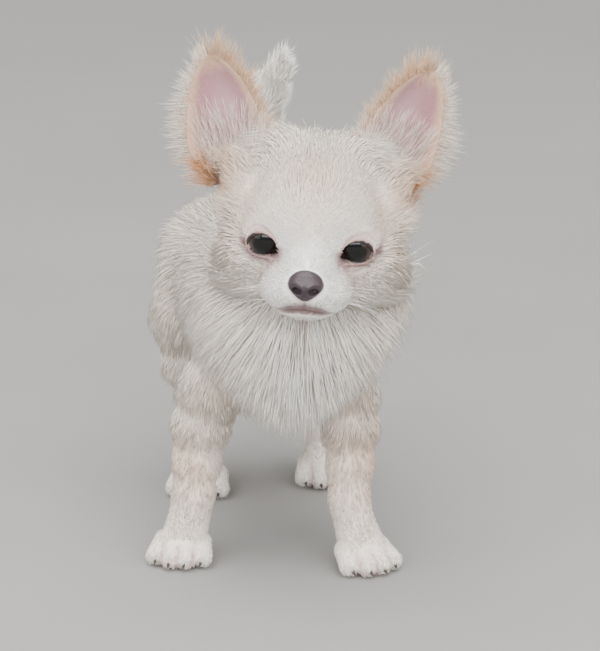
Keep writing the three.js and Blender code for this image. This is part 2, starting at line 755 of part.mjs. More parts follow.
// Long hair along both edges of the ear, longest low down on the outer one, and out of its cup
function earFringe(ear, outer) {
  const random = randomFrom(outer > 0 ? 91 : 97);
  const hair = (across, t, flow, length, width) => {
    const root = earPoint(ear, across, t, 0);
    const path = [-0.16, 0.3, 0.66, 1].map((k) => root.clone().addScaledVector(flow, k * length)
      .addScaledVector(ear.facing, -0.8 * k * k));
    return lock({ path, width, thick: 1.3, normal: ear.facing, roll: (random() - 0.5) * 0.6 });
  };
  const edges = Array.from({ length: 11 }, (unused, i) => {
    const edge = i % 2 ? -outer : outer;
    const t = Math.min(lerp(0.2, 0.97, (i + random() * 0.7) / 11), 0.96);
    const tipward = smooth(t, 0.5, 1);
    const flow = ear.across.clone().multiplyScalar(edge * lerp(1, 0.4, tipward))
      .addScaledVector(ear.along, lerp(edge === outer ? 0.15 : 0.9, 1.4, tipward) + (random() - 0.5) * 0.5)
      .addScaledVector(ear.facing, (random() - 0.7) * 0.3).normalize();
    const length = lerp(8, 15.5, random()) * (edge === outer ? 1 : 0.85);
    return hair(edge * 0.86, t, flow, length, lerp(4.5, 7.5, random()));
  });
  const cup = [-0.5, 0, 0.5].map((across, i) => {
    const flow = ear.along.clone().addScaledVector(ear.across, across * 0.25)
      .addScaledVector(ear.facing, 0.3).normalize();
    return hair(across, 0.2 + 0.07 * (i % 2), flow, lerp(13, 17, random()), 4.6);
  });
  return [...edges, ...cup];
}
function finish(solid, joints, sockets) {
  const cut = joints.reduce((rest, keep) => keep(rest), solid);
  return largestPiece(sockets.reduce((rest, socket) => rest.subtract(socket), cut));
}

const CLAW_STEPS = [-1.5, -0.5, 0.5, 1.5];
function buildLegs() {
  for (const [name, leg] of Object.entries(legs)) {
    const whole = fuse(makeLegCore(leg, 0), legFeather(leg));
    if (name.startsWith('hind')) {
      show(name, finish(whole, [hock.keepAhead], []), 'coat');
      show(`${name}_hock`, finish(whole, [wrist.keepAhead, hock.keepBehind], []), 'coat');
    } else {
      show(name, finish(whole, [wrist.keepAhead], []), 'coat');
    }
    const pawName = name.replace('leg', 'paw');
    show(pawName, makePaw(leg, CLAW_STEPS.map((step) => makeClaw(leg.paw, step, GAP))), 'paw');
    CLAW_STEPS.forEach((step, i) => show(`claw_${pawName}_${i + 1}`, makeClaw(leg.paw, step, 0), 'claw'));
  }
}
function buildTrunk() {
  const legSockets = Object.values(legs).map((leg) => makeLegCore(leg, GAP));
  const bodyBall = pushedBall({
    field: body,
    share: CORE_SHARE,
    from: V(8, 6, 98),
    to: V(-14, 110, 110),
    pole: V(-22, 104, 12),
    around: 22,
    rings: 16,
    far: 120,
  });
  const torso = fuse(shoulder.keepBehind(toSolid(bodyBall)), sideCoat());
  show('torso', finish(torso, [shoulder.keepBehind, tailRoot.keepBehind], legSockets), 'coat');

  const neckBall = pushedBall({
    field: body,
    share: CORE_SHARE,
    from: V(9, -2, 98),
    to: V(14, 0, 146),
    pole: V(0, 0, 1),
    around: 24,
    rings: 15,
    far: 120,
  });
  moveVertices(neckBall, (p) => {
    const front = smooth(throat.at.y - p.y, -NECK.roundFront, NECK.roundFront);
    const near = smooth(throat.side(p), -NECK.roundDepth, 0) * front;
    const across = p.clone().sub(throat.at);
    across.addScaledVector(throat.normal, -across.dot(throat.normal));
    return p.addScaledVector(across, -NECK.roundIn * near);
  });
  const neck = fuse(toSolid(neckBall), ruffCoat());
  show('neck', finish(neck, [shoulder.keepAhead, throat.keepBehind], legSockets), 'ruff');

  const tailCore = toSolid(limb({ ...tail, around: 8, steps: 12 }));
  show('tail', finish(fuse(tailCore, plume()), [tailRoot.keepAhead], []), 'tail');
}
function buildHead() {
  const headBall = pushedBall({
    field: headField,
    share: CORE_SHARE,
    from: onHead(0, -2, -2),
    to: onHead(0, -14, -9),
    pole: alongHead(0, -0.94, -0.32),
    around: 30,
    rings: 25,
    far: 90,
    crowd: 1.4,
  });
  let head = throat.keepAhead(fuse(toSolid(headBall), faceCoat()));
  eyeCentres.forEach((at, i) => {
    head = head.subtract(makeEyeball(at, GAP)).subtract(lidOpening(i * 2 - 1, at));
  });
  head = head.subtract(makeNose(GAP)).subtract(mouthGroove());
  for (const ear of Object.values(ears)) {
    head = head.subtract(earShell(ear, GAP));
  }
  show('head', largestPiece(head), 'face');
  eyeCentres.forEach((at, i) => show(i ? 'eye_left' : 'eye_right', makeEyeball(at, 0), 'eye'));
  show('nose', largestPiece(makeNose(0).subtract(nostril(-1)).subtract(nostril(1))), 'nose');
  Object.entries(ears).forEach(([name, ear], i) => {
    show(name, largestPiece(fuse(earShell(ear, 0), earFringe(ear, i * 2 - 1))), 'ear');
  });
}
buildLegs();
buildTrunk();
buildHead();

// The origin is the middle of the ground under the whole dog
const box = new THREE.Box3().setFromObject(dog);
dog.position.set(-(box.min.x + box.max.x) / 2, -(box.min.y + box.max.y) / 2, 0);

export default dog;
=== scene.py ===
"""A long-haired chihuahua puppy, standing, dressed over its solids as a still, life-size model.

Lengths are millimetres in the dog's own modelling frame until a mesh is placed: +X is the dog's own
left, the dog faces -Y, +Z is up and the paws stand on z = 0. Stand.place turns them into metres in
the shared frame. The flesh is a blend of round volumes; the skin is its surface, and the coat is
thousands of thin tapered tufts rooted on that skin and laid along the flow of the hair.
"""
from __future__ import annotations

import logging
import math
from dataclasses import dataclass, fields, replace
from enum import Enum

import bpy
import numpy as np
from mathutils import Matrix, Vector, kdtree

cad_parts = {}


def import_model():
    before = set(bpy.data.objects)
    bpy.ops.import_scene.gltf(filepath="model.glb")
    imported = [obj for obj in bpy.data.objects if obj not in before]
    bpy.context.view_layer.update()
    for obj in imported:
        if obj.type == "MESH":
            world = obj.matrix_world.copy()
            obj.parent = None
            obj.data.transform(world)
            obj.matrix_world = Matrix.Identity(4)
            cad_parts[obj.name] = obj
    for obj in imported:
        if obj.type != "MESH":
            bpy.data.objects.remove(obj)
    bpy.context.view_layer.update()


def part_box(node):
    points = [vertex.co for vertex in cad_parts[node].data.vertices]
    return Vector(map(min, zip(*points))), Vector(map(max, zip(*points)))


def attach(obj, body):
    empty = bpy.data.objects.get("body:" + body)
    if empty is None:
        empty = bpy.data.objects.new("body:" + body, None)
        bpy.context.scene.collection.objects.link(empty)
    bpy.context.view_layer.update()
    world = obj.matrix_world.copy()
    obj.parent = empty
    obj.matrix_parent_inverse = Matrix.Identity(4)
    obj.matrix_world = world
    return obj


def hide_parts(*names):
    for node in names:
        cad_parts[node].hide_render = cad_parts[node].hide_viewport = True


LOG = logging.getLogger("chihuahua")
MM = 0.001
FAR = 99.0
Point = tuple[float, float, float]
Look = tuple[np.ndarray, np.ndarray, np.ndarray, np.ndarray]


def unit(vectors: np.ndarray) -> np.ndarray:
    """Scale vectors to length one."""
    return vectors / np.maximum(np.linalg.norm(vectors, axis=-1, keepdims=True), 1e-9)


def ramp(values: np.ndarray, low: float, high: float) -> np.ndarray:
    """Rise smoothly from 0 at low to 1 at high."""
    t = np.clip((values - low) / (high - low), 0.0, 1.0)
    return t * t * (3.0 - 2.0 * t)


def tangent(flow: np.ndarray, normal: np.ndarray) -> np.ndarray:
    """Lay a flow on the surface that a normal stands on."""
    return unit(flow - normal * np.sum(flow * normal, axis=1, keepdims=True))


@dataclass(frozen=True)
class HeadPose:
    """Where the head is and how it is turned, in the body's frame."""

    centre: Point = (17.0, -14.0, 166.0)
    yaw: float = 4.0
    pitch: float = 10.0
    roll: float = 4.0

    def axes(self) -> np.ndarray:
        """Give the head's axes as columns: its left, its back and its top.

        Returns:
            The three axes, one in each column.
        """
        yaw, pitch, roll = (math.radians(a) for a in (self.yaw, self.pitch, self.roll))
        level = math.cos(pitch)
        forward = np.array([-math.sin(yaw) * level, -math.cos(yaw) * level, -math.sin(pitch)])
        side = np.array([math.cos(yaw), -math.sin(yaw), 0.0])
        top = np.cross(forward, side)
        rolled_side = side * math.cos(roll) - top * math.sin(roll)
        rolled_top = top * math.cos(roll) + side * math.sin(roll)
        return np.stack([rolled_side, -forward, rolled_top], axis=1)

    def on(self, x: float, y: float, z: float) -> np.ndarray:
        """Turn a point of the head into the body's frame."""
        return np.array(self.centre) + self.axes() @ np.array([x, y, z])

    def along(self, vectors: np.ndarray) -> np.ndarray:
        """Turn directions of the head into the body's frame."""
        return vectors @ self.axes().T

    def local(self, points: np.ndarray) -> np.ndarray:
        """Turn points of the body's frame into the head's."""
        return (points - np.array(self.centre)) @ self.axes()


HEAD = HeadPose()
EYE_X, EYE_Y, EYE_Z, EYE_RADIUS = 18.2, -20.8, 1.2, 9.0
EYE_WIDTH, EYE_HEIGHT, EYE_TURN = 15.0, 10.4, 13.0
EYES = {side: HEAD.on(side * EYE_X, EYE_Y, EYE_Z) for side in (-1, 1)}
NOSE_Y, NOSE_Z = -46.8, -7.2
NOSE_SIZE = (15.4, 11.0, 13.8)
TOES = (-1.5, -0.5, 0.5, 1.5)
TOE_STEP = 6.9
CAD_FLESH = (
    "head", "neck", "torso", "tail", "foreleg_right", "foreleg_left", "hindleg_right", "hindleg_left",
    "hindleg_right_hock", "hindleg_left_hock", "forepaw_right", "forepaw_left", "hindpaw_right",
    "hindpaw_left",
)
TUFT_SEED = 7
EAR_SEED = 5
COAT_SEED = 2026
WHISKER_SEEDS = (31, 9)
FULL_TUFTS = 118000
TRUNK_CLUMP = 0.2
COAT_CLUMP = 0.3
SHORT_STATIONS = (0.0, 0.5, 1.0)


class Part(Enum):
    """Parts of the body that keep a coat of their own."""

    HEAD = 0
    BODY = 1
    TAIL = 2
    FORELEG_RIGHT = 3
    FORELEG_LEFT = 4
    HINDLEG_RIGHT = 5
    HINDLEG_LEFT = 6


@dataclass(frozen=True)
class Ball:
    """An ellipsoid of flesh, with the depth of coat that grows on it."""

    at: Point
    radii: Point
    coat: float = 0.0

    def distance(self, points: np.ndarray, share: float) -> np.ndarray:
        """Measure how far points are outside the surface at a share of the coat's depth.

        Args:
            points: Places in the body's frame.
            share: Share of the coat's depth to add to the flesh.

        Returns:
            The distances, less than 0 inside.
        """
        radii = np.array(self.radii) + self.coat * share
        q = points - np.array(self.at)
        near = np.linalg.norm(q / radii, axis=1)
        slope = np.linalg.norm(q / radii ** 2, axis=1)
        return near * (near - 1.0) / np.maximum(slope, 1e-9)


@dataclass(frozen=True)
class Bone:
    """A round limb between two points, with a radius at each end."""

    start: Point
    end: Point
    radius_start: float
    radius_end: float
    coat: float = 0.0

    def distance(self, points: np.ndarray, share: float) -> np.ndarray:
        """Measure how far points are outside the surface at a share of the coat's depth.

        Args:
            points: Places in the body's frame.
            share: Share of the coat's depth to add to the flesh.

        Returns:
            The distances, less than 0 inside.
        """
        start = np.array(self.start)
        along = np.array(self.end) - start
        t = np.clip((points - start) @ along / (along @ along), 0.0, 1.0)
        foot = start + t[:, None] * along
        radius = self.radius_start + (self.radius_end - self.radius_start) * t
        return np.linalg.norm(points - foot, axis=1) - radius - self.coat * share


def soft_min(a: np.ndarray, b: np.ndarray, softness: float) -> np.ndarray:
    """Join two distances with a rounded crease."""
    h = np.maximum(softness - np.abs(a - b), 0.0) / softness
    return np.minimum(a, b) - h * h * softness / 4.0


def on_head(x: float, y: float, z: float) -> Point:
    """Give a point of the head as a plain tuple in the body's frame."""
    return tuple(HEAD.on(x, y, z))


@dataclass
class Leg:
    """A leg: its stations from the body down, its half widths there, and its paw."""

    part: Part
    points: list[Point]
    radii: list[float]
    paw: tuple[float, float]
    turn: float
    coat: float = 4.0
    inner_reach: float = -12.6
    outer_reach: float = -8.6
    toe_length: float = 9.0

    def volumes(self) -> list[Bone]:
        """Give the flesh of the leg above the paw."""
        pairs = zip(self.points, self.points[1:], self.radii, self.radii[1:])
        return [Bone(a, b, ra, rb, self.coat) for a, b, ra, rb in pairs]

    def paw_point(self, x: float, y: float, z: float) -> Point:
        """Turn a point of the paw into the body's frame."""
        c, s = math.cos(math.radians(self.turn)), math.sin(math.radians(self.turn))
        return (self.paw[0] + c * x - s * y, self.paw[1] + s * x + c * y, z)

    def paw_volumes(self) -> list[Ball | Bone]:
        """Give the palm, the pad and the four toes.

        Returns:
            Their volumes in the body's frame.
        """
        heel, shank = np.array(self.points[-1], float), np.array(self.points[-2], float)
        above = heel + (shank - heel) * 0.8
        palm = [
            Ball(self.paw_point(0, 2, 7.2), (11.2, 9.4, 7.0), 2.0),
            Ball(self.paw_point(0, 6.0, 4.8), (8.4, 7.0, 4.7), 2.0),
            Bone(tuple(heel), tuple(above), self.radii[-1], self.radii[-1], 3.0),
            Bone(tuple(above), self.paw_point(-4.6, -3.0, 8.6), 6.4, 5.6, 1.6),
            Bone(tuple(above), self.paw_point(4.6, -3.0, 8.6), 6.4, 5.6, 1.6),
        ]
        for step in TOES:
            reach = self.inner_reach if abs(step) < 1 else self.outer_reach
            palm.append(Bone(self.paw_point(step * TOE_STEP * 0.8, reach + self.toe_length, 8.4),
                             self.paw_point(step * TOE_STEP, reach, 4.6), 4.3, 4.2, 1.2))
        return palm


LEGS = [
    Leg(Part.FORELEG_RIGHT,
        [(-21, 18, 98), (-27, 18, 80), (-32, 18, 63), (-34.5, 18, 46), (-36, 17, 31), (-38.5, 16.5, 16)],
        [12.0, 12.0, 11.0, 9.2, 7.8, 8.2], (-41.0, 16.5), -9.0),
    Leg(Part.FORELEG_LEFT,
        [(26, 16, 98), (31, 15.5, 80), (33, 14.5, 63), (33, 13, 46), (32.6, 10.5, 31), (35.5, 9, 16)],
        [12.0, 11.6, 10.6, 8.9, 7.6, 8.0], (38.5, 7.5), 24.0),
    Leg(Part.HINDLEG_RIGHT,
        [(-34, 107, 112), (-37, 99, 88), (-38, 98, 66), (-36.5, 113, 45), (-35.5, 118, 33),
         (-35, 112, 16)],
        [16.0, 17.0, 12.0, 7.8, 6.6, 7.4], (-35.0, 105.0), -8.0),
    Leg(Part.HINDLEG_LEFT,
        [(5, 117, 112), (12, 112, 88), (18, 112, 66), (21, 128, 45), (22, 133, 33), (22, 127, 16)],
        [16.0, 17.0, 12.0, 7.8, 6.6, 7.4], (22.5, 120.0), 6.0),
]
TAIL_POINTS = [
    (-14, 126, 128), (-13.5, 132, 146), (-10.5, 130, 166), (-5, 120, 184), (1, 107, 199), (3.5, 99, 207),
]
TAIL_RADII = [8.0, 6.6, 6.6, 5.6, 3.4, 1.2]


@dataclass
class Flesh:
    """The whole body under the coat, as groups of blended volumes."""

    body_softness: float = 16.0
    head_softness: float = 9.0
    tail_softness: float = 5.0
    leg_softness: float = 6.0
    lid_softness: float = 3.0
    paw_softness: float = 2.0
    join_softness: float = 9.0
    tail_coat: float = 12.0

    def __post_init__(self) -> None:
        """Lay out the volumes of each part."""
        body = [
            Ball((8, 2, 102), (33, 26, 27), 18), Ball((3, 42, 101), (33, 38, 35), 19),
            Ball((-6, 80, 106), (30, 34, 30), 17), Ball((-14, 110, 110), (30, 29, 29), 17),
            Ball((14.5, 3, 121), (34, 26, 28), 23), Bone((17, -4, 156), (7, 24, 126), 17, 23, 15),
        ]
        head = [
            Ball(on_head(0, 0, 2), (30, 33, 30.5), 7), Ball(on_head(0, -16, 9), (24, 15, 19), 5),
            Ball(on_head(0, -30, -6.6), (11, 18, 8.8), 1.2),
            Ball(on_head(-9.5, -36, -14.5), (10, 11.5, 8.6), 1.6),
            Ball(on_head(9.5, -36, -14.5), (10, 11.5, 8.6), 1.6),
            Ball(on_head(0, -34, -20), (10.5, 12.5, 7), 1.6),
            Ball(on_head(-19, -6, -15), (15, 19, 15), 9), Ball(on_head(19, -6, -15), (15, 19, 15), 9),
            Ball(on_head(0, 6, -14), (22, 20, 18), 7),
            Ball(on_head(-31, 4, 10), (8, 8, 11), 6), Ball(on_head(31, 4, 10), (8, 8, 11), 6),
        ]
        self.lids = [Ball(tuple(at), (EYE_RADIUS + 1.0,) * 3) for at in EYES.values()]
        tail = [Bone(a, b, ra, rb, self.tail_coat) for a, b, ra, rb in
                zip(TAIL_POINTS, TAIL_POINTS[1:], TAIL_RADII, TAIL_RADII[1:])]
        self.groups: dict[Part, tuple[list[Ball | Bone], float]] = {
            Part.BODY: (body, self.body_softness),
            Part.HEAD: (head, self.head_softness),
            Part.TAIL: (tail, self.tail_softness),
        }
        for leg in LEGS:
            self.groups[leg.part] = (leg.volumes(), self.leg_softness)
        self.paws = {leg.part: leg.paw_volumes() for leg in LEGS}

    def part_distance(self, part: Part, points: np.ndarray, share: float = 0.0) -> np.ndarray:
        """Measure the distance of points from one part.

        Args:
            part: The part.
            points: Places in the body's frame.
            share: Share of the coat's depth to add.

        Returns:
            The distances, less than 0 inside.
        """
        volumes, softness = self.groups[part]
        d = volumes[0].distance(points, share)
        for volume in volumes[1:]:
            d = soft_min(d, volume.distance(points, share), softness)
        if part is Part.HEAD:
            for lid in self.lids:
                d = soft_min(d, lid.distance(points, share), self.lid_softness)
        if part in self.paws:
            for volume in self.paws[part]:
                d = soft_min(d, volume.distance(points, share), self.paw_softness)
        return d

    def distance(self, points: np.ndarray, share: float = 0.0) -> np.ndarray:
        """Measure the distance of points from the whole body.

        Args:
            points: Places in the body's frame.
            share: Share of the coat's depth to add.

        Returns:
            The distances, less than 0 inside.
        """
        d = self.part_distance(Part.BODY, points, share)
        for part in self.groups:
            if part is not Part.BODY:
                d = soft_min(d, self.part_distance(part, points, share), self.join_softness)
        return d

    def slope(self, points: np.ndarray, share: float = 0.0) -> np.ndarray:
        """Give the outward direction of the body's surface near points.

        Args:
            points: Places in the body's frame.
            share: Share of the coat's depth to add.

        Returns:
            A direction of length one for each point.
        """
        step = 0.35
        corners = np.array([[1, -1, -1], [-1, -1, 1], [-1, 1, -1], [1, 1, 1]], float)
        total = np.zeros_like(points)
        for corner in corners:
            total += corner * self.distance(points + corner * step, share)[:, None]
        return unit(total)

    def nearest_part(self, points: np.ndarray) -> np.ndarray:
        """Name the part that each point belongs to."""
        table = np.stack([self.part_distance(part, points) for part in Part], axis=1)
        return np.argmin(table, axis=1)


def eye_coordinates(points: np.ndarray, side: int) -> tuple[np.ndarray, np.ndarray, np.ndarray]:
    """Measure points across, up and out of one eye's opening.

    Args:
        points: Places in the body's frame.
        side: -1 for the dog's right eye and 1 for its left.

    Returns:
        The distances across, up and outwards from the middle of the eyeball.
    """
    q = HEAD.local(points) - np.array([side * EYE_X, EYE_Y, EYE_Z])
    turn = math.radians(EYE_TURN) * side
    across = q[:, 0] * math.cos(turn) + q[:, 1] * math.sin(turn)
    out = q[:, 0] * math.sin(turn) - q[:, 1] * math.cos(turn)
    return across, q[:, 2], out


def lid_height(across: np.ndarray, side: int, upper: bool) -> np.ndarray:
    """Give the height of a lid's edge over the eye's middle, at a distance across.

    Args:
        across: Distances across the eye.
        side: -1 for the dog's right eye and 1 for its left.
        upper: True for the upper lid.

    Returns:
        The heights.
    """
    s = np.clip(across / (EYE_WIDTH / 2), -1.0, 1.0)
    arch = np.sqrt(np.maximum(1.0 - s * s, 0.0))
    middle = -2.1 * s * s - 0.33 * s * side
    peak = EYE_HEIGHT / 2
    return middle + (peak * arch ** 0.9 if upper else -peak * 0.96 * arch)


def eye_opening(points: np.ndarray) -> np.ndarray:
    """Measure how far points are inside the openings between the lids, in millimetres.

    Args:
        points: Places in the body's frame.

    Returns:
        The distances, less than 0 outside both.
    """
    best = np.full(len(points), -FAR)
    for side in (-1, 1):
        across, up, out = eye_coordinates(points, side)
        inside = np.minimum(lid_height(across, side, True) - up, up - lid_height(across, side, False))
        inside = np.minimum(inside, EYE_WIDTH / 2 - np.abs(across))
        best = np.maximum(best, np.where(out > 0, inside, -FAR))
    return best


def mouth_curve(count: int = 60) -> np.ndarray:
    """Give the line of the mouth as points of the head, from the dog's right corner to its left.

    Args:
        count: Number of points.

    Returns:
        The points, one in each row.
    """
    half_width, corner_y, reach, corner_z = 16.5, -35.0, 15.0, -21.5
    middle_rise, side_dip = 1.9, 1.4
    turn = np.linspace(-1.0, 1.0, count) * math.pi / 2
    x = half_width * np.sin(turn)
    y = corner_y - reach * np.cos(turn)
    z = corner_z + middle_rise * np.cos(turn) - side_dip * np.sin(turn * 2) ** 2
    return np.stack([x, y, z], axis=1)


MOUTH = mouth_curve()
MOUTH_PIVOT = 20.0


def mouth_offset(q: np.ndarray) -> tuple[np.ndarray, np.ndarray]:
    """Measure head points from the line of the mouth.

    Args:
        q: Places in the head's frame.

    Returns:
        Their height over the line, and how far past its ends they are.
    """
    height = np.full(len(q), FAR)
    beyond = np.zeros(len(q))
    close = (q[:, 1] < -24) & (q[:, 2] < -8)
    angle = np.arctan2(q[close, 0], -(q[close, 1] + MOUTH_PIVOT))
    line = np.arctan2(MOUTH[:, 0], -(MOUTH[:, 1] + MOUTH_PIVOT))
    height[close] = q[close, 2] - np.interp(angle, line, MOUTH[:, 2])
    beyond[close] = np.maximum(np.abs(angle) - line[-1], 0.0) * 25.0
    return height, beyond


def mouth_distance(q: np.ndarray) -> np.ndarray:
    """Measure how far head points are from the line of the mouth."""
    return np.hypot(*mouth_offset(q))


def toe_crease_shade(points: np.ndarray) -> np.ndarray:
    """Mark the creases between the toes with a soft mask, for the painted shade laid there.

    Args:
        points: Places in the body's frame.

    Returns:
        The mask, 0 to 1.
    """
    groove_width = 0.9
    mask = np.zeros(len(points))
    for leg in LEGS:
        c, s = math.cos(math.radians(leg.turn)), math.sin(math.radians(leg.turn))
        dx, dy = points[:, 0] - leg.paw[0], points[:, 1] - leg.paw[1]
        x, y = dx * c + dy * s, dy * c - dx * s
        near = ramp(-y, 3, 9) * ramp(26 + y, 0, 4) * ramp(12 - points[:, 2], 0, 3)
        for groove in (-TOE_STEP, 0.0, TOE_STEP):
            mask = np.maximum(mask, near * np.exp(-((x - groove) / groove_width) ** 2))
    return mask


@dataclass
class Stand:
    """Ties the modelling frame to the shared frame."""

    shift: np.ndarray

    @classmethod
    def from_frame(cls) -> "Stand":
        """Find the shift from the box of the dog's right eye, which is a plain ball.

        Returns:
            The stand.
        """
        low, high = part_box("eye_right")
        middle = (np.array(low) + np.array(high)) / 2
        return cls(middle - EYES[-1] * MM)

    def place(self, points: np.ndarray) -> np.ndarray:
        """Turn modelling millimetres into metres of the shared frame."""
        return np.asarray(points, float) * MM + self.shift

    def back(self, points: np.ndarray) -> np.ndarray:
        """Turn metres of the shared frame into modelling millimetres."""
        return (np.asarray(points, float) - self.shift) / MM


@dataclass
class Palette:
    """Colours of the coat and the bare skin, as linear values, and where each marking and each patch of
    painted shade lies.
    """

    cream: Point = (0.91, 0.835, 0.745)
    white: Point = (0.965, 0.935, 0.89)
    tan: Point = (0.62, 0.36, 0.19)
    rust: Point = (0.56, 0.27, 0.12)
    peach: Point = (0.78, 0.55, 0.41)
    blush: Point = (0.58, 0.38, 0.35)
    mauve: Point = (0.085, 0.045, 0.052)
    stain_and_shade: Point = (0.42, 0.22, 0.13)
    lid: Point = (0.28, 0.16, 0.17)

    def markings_and_shade(self, points: np.ndarray) -> np.ndarray:
        """Colour the coat at its roots' places.

        Args:
            points: Places in the body's frame.

        Returns:
            A colour for each place.
        """
        q = HEAD.local(points)
        colour = np.tile(np.array(self.cream), (len(points), 1))

        def add(tone: Point, mask: np.ndarray) -> None:
            """Mix one tone in by a mask."""
            nonlocal colour
            mask = np.clip(mask, 0.0, 1.0)[:, None]
            colour = colour * (1 - mask) + np.array(tone) * mask

        def spot(centre: Point, radius: float, base: np.ndarray = q) -> np.ndarray:
            """Give a soft round mask about a place."""
            return np.exp(-np.sum((base - np.array(centre)) ** 2, axis=1) / radius ** 2)

        def pair(x: float, y: float, z: float, radius: float) -> np.ndarray:
            """Give a soft round mask on each side of the head."""
            return spot((-x, y, z), radius) + spot((x, y, z), radius)

        face = ramp(-q[:, 1], 6, 26) * ramp(q[:, 2], -34, -26)
        x, y, z = points.T
        front = ramp(-y, -14, 14) * ramp(145 - z, 0, 14) * ramp(z, 66, 76)
        add(self.white, 0.9 * front * np.exp(-((x - 11) / 20) ** 2))
        # painted shade: a darker brown line down the parting of the ruff, where the hair falls to either
        # side
        parting_shade = np.exp(-((x - 12.5) / 1.8) ** 2) * ramp(z, 118, 128)
        add(self.stain_and_shade, 0.35 * parting_shade * front)
        # painted shade: a darker tan band in the crease where the ruff ends and each foreleg begins
        for shoulder in (-28, 38):
            patch = np.exp(-((z - 84) / 7) ** 2 - ((x - shoulder) / 13) ** 2)
            add(self.peach, 0.55 * patch * ramp(-y, -14, 4))
        add(self.white, 0.95 * ramp(-q[:, 1], 26, 34) * face)
        add(self.white, 0.6 * pair(19, -28, 12, 7))
        add(self.peach, 0.5 * spot((0, -20, 27), 10) + 0.3 * spot((0, -30, 14), 7))
        add(self.peach, 0.4 * pair(28, -14, 12, 10))
        add(self.peach, 0.35 * pair(31, -8, -6, 11))
        add(self.blush, 0.55 * pair(15.5, -32, -9, 6.5))
        add(self.tan, 0.85 * pair(33, 6, 14, 8))
        add(self.rust, 0.7 * pair(37, 4, 10, 6))
        add(self.peach, 0.4 * spot((-40, 8, 50), 18, points) + 0.6 * spot((42, 4, 52), 22, points))
        add(self.tan, 0.25 * spot((-36, 6, 42), 9, points))
        add(self.white, 0.6 * ramp(18 - z, 0, 12))
        add(self.white, 0.8 * ramp(z, 160, 180) * ramp(y, 60, 80))
        add(self.peach, 0.35 * spot((-40, 110, 145), 14, points))
        near_eye = np.maximum(eye_opening(points), -6.0)
        add(self.blush, 0.8 * ramp(near_eye, -4.6, -0.8) * (q[:, 1] < 0))
        add(self.lid, 0.85 * ramp(near_eye, -2.8, -1.2) * (q[:, 1] < 0))
        height, beyond = mouth_offset(q)
        middle = ramp(14 - np.abs(q[:, 0]), 0, 8)
        lip = ramp(height, -1.8, -0.9) * ramp(-height, -2.0 - 4.0 * middle, -1.0 - 2.0 * middle)
        add(self.mauve, lip * (0.45 + 0.5 * middle) * ramp(-beyond, -2, 0))
        # painted shade: a darker pinkish tone in the creases between the toes
        add(self.blush, 0.6 * toe_crease_shade(points))
        add(self.mauve, 0.5 * spot((0, -48, -16.5), 4.2))
        add(self.mauve, 0.35 * pair(9.5, -33, -1, 3.6))
        # a real brown stain at the dog's right mouth corner
        add(self.stain_and_shade, 0.6 * spot((-14.5, -42, -20.5), 3.2))
        return colour


def mesh_object(name: str, points: np.ndarray, faces: np.ndarray) -> bpy.types.Object:
    """Make an object from arrays of metres and of equal faces.

    Args:
        name: The piece's name.
        points: Places of its points.
        faces: Rows of point numbers, three or four to a face.

    Returns:
        The new object.
    """
    mesh = bpy.data.meshes.new(name)
    sides = faces.shape[1]
    mesh.vertices.add(len(points))
    mesh.vertices.foreach_set("co", np.ascontiguousarray(points, np.float32).ravel())
    mesh.loops.add(faces.size)
    mesh.loops.foreach_set("vertex_index", np.ascontiguousarray(faces, np.int32).ravel())
    mesh.polygons.add(len(faces))
    mesh.polygons.foreach_set("loop_start", np.arange(0, faces.size, sides, dtype=np.int32))
    mesh.update(calc_edges=True)
    mesh.validate()
    piece = bpy.data.objects.new(name, mesh)
    bpy.context.scene.collection.objects.link(piece)
    return piece


def add_colours(piece: bpy.types.Object, colours: np.ndarray) -> None:
    """Store a colour for each point of a piece in its attribute coat_tint.

    Args:
        piece: The piece.
        colours: One row for each point.
    """
    attribute = piece.data.color_attributes.new("coat_tint", "FLOAT_COLOR", "POINT")
    rgba = np.concatenate([colours, np.ones((len(colours), 1))], axis=1).astype(np.float32)
    attribute.data.foreach_set("color", rgba.ravel())


def read_points(piece: bpy.types.Object) -> np.ndarray:
    """Read a mesh's points as an array.

    Args:
        piece: The piece.

    Returns:
        The points, one in each row.
    """
    flat = np.empty(len(piece.data.vertices) * 3, np.float32)
    piece.data.vertices.foreach_get("co", flat)
    return flat.reshape(-1, 3).astype(float)


def write_points(piece: bpy.types.Object, points: np.ndarray) -> None:
    """Write an array back to a mesh's points."""
    piece.data.vertices.foreach_set("co", points.astype(np.float32).ravel())
    piece.data.update()


def select_only(piece: bpy.types.Object) -> None:
    """Select one object and make it the active one.

    Args:
        piece: The piece.
    """
    bpy.ops.object.select_all(action="DESELECT")
    piece.select_set(True)
    bpy.context.view_layer.objects.active = piece


def smooth_shade(piece: bpy.types.Object) -> None:
    """Shade all faces of a piece smooth."""
    piece.data.polygons.foreach_set("use_smooth", np.ones(len(piece.data.polygons), bool))
    piece.data.update()


def dress(piece: bpy.types.Object, material: bpy.types.Material) -> None:
    """Give a piece its material and its body.

    Args:
        piece: The piece.
        material: Its material.
    """
    piece.data.materials.clear()
    piece.data.materials.append(material)
    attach(piece, "root")


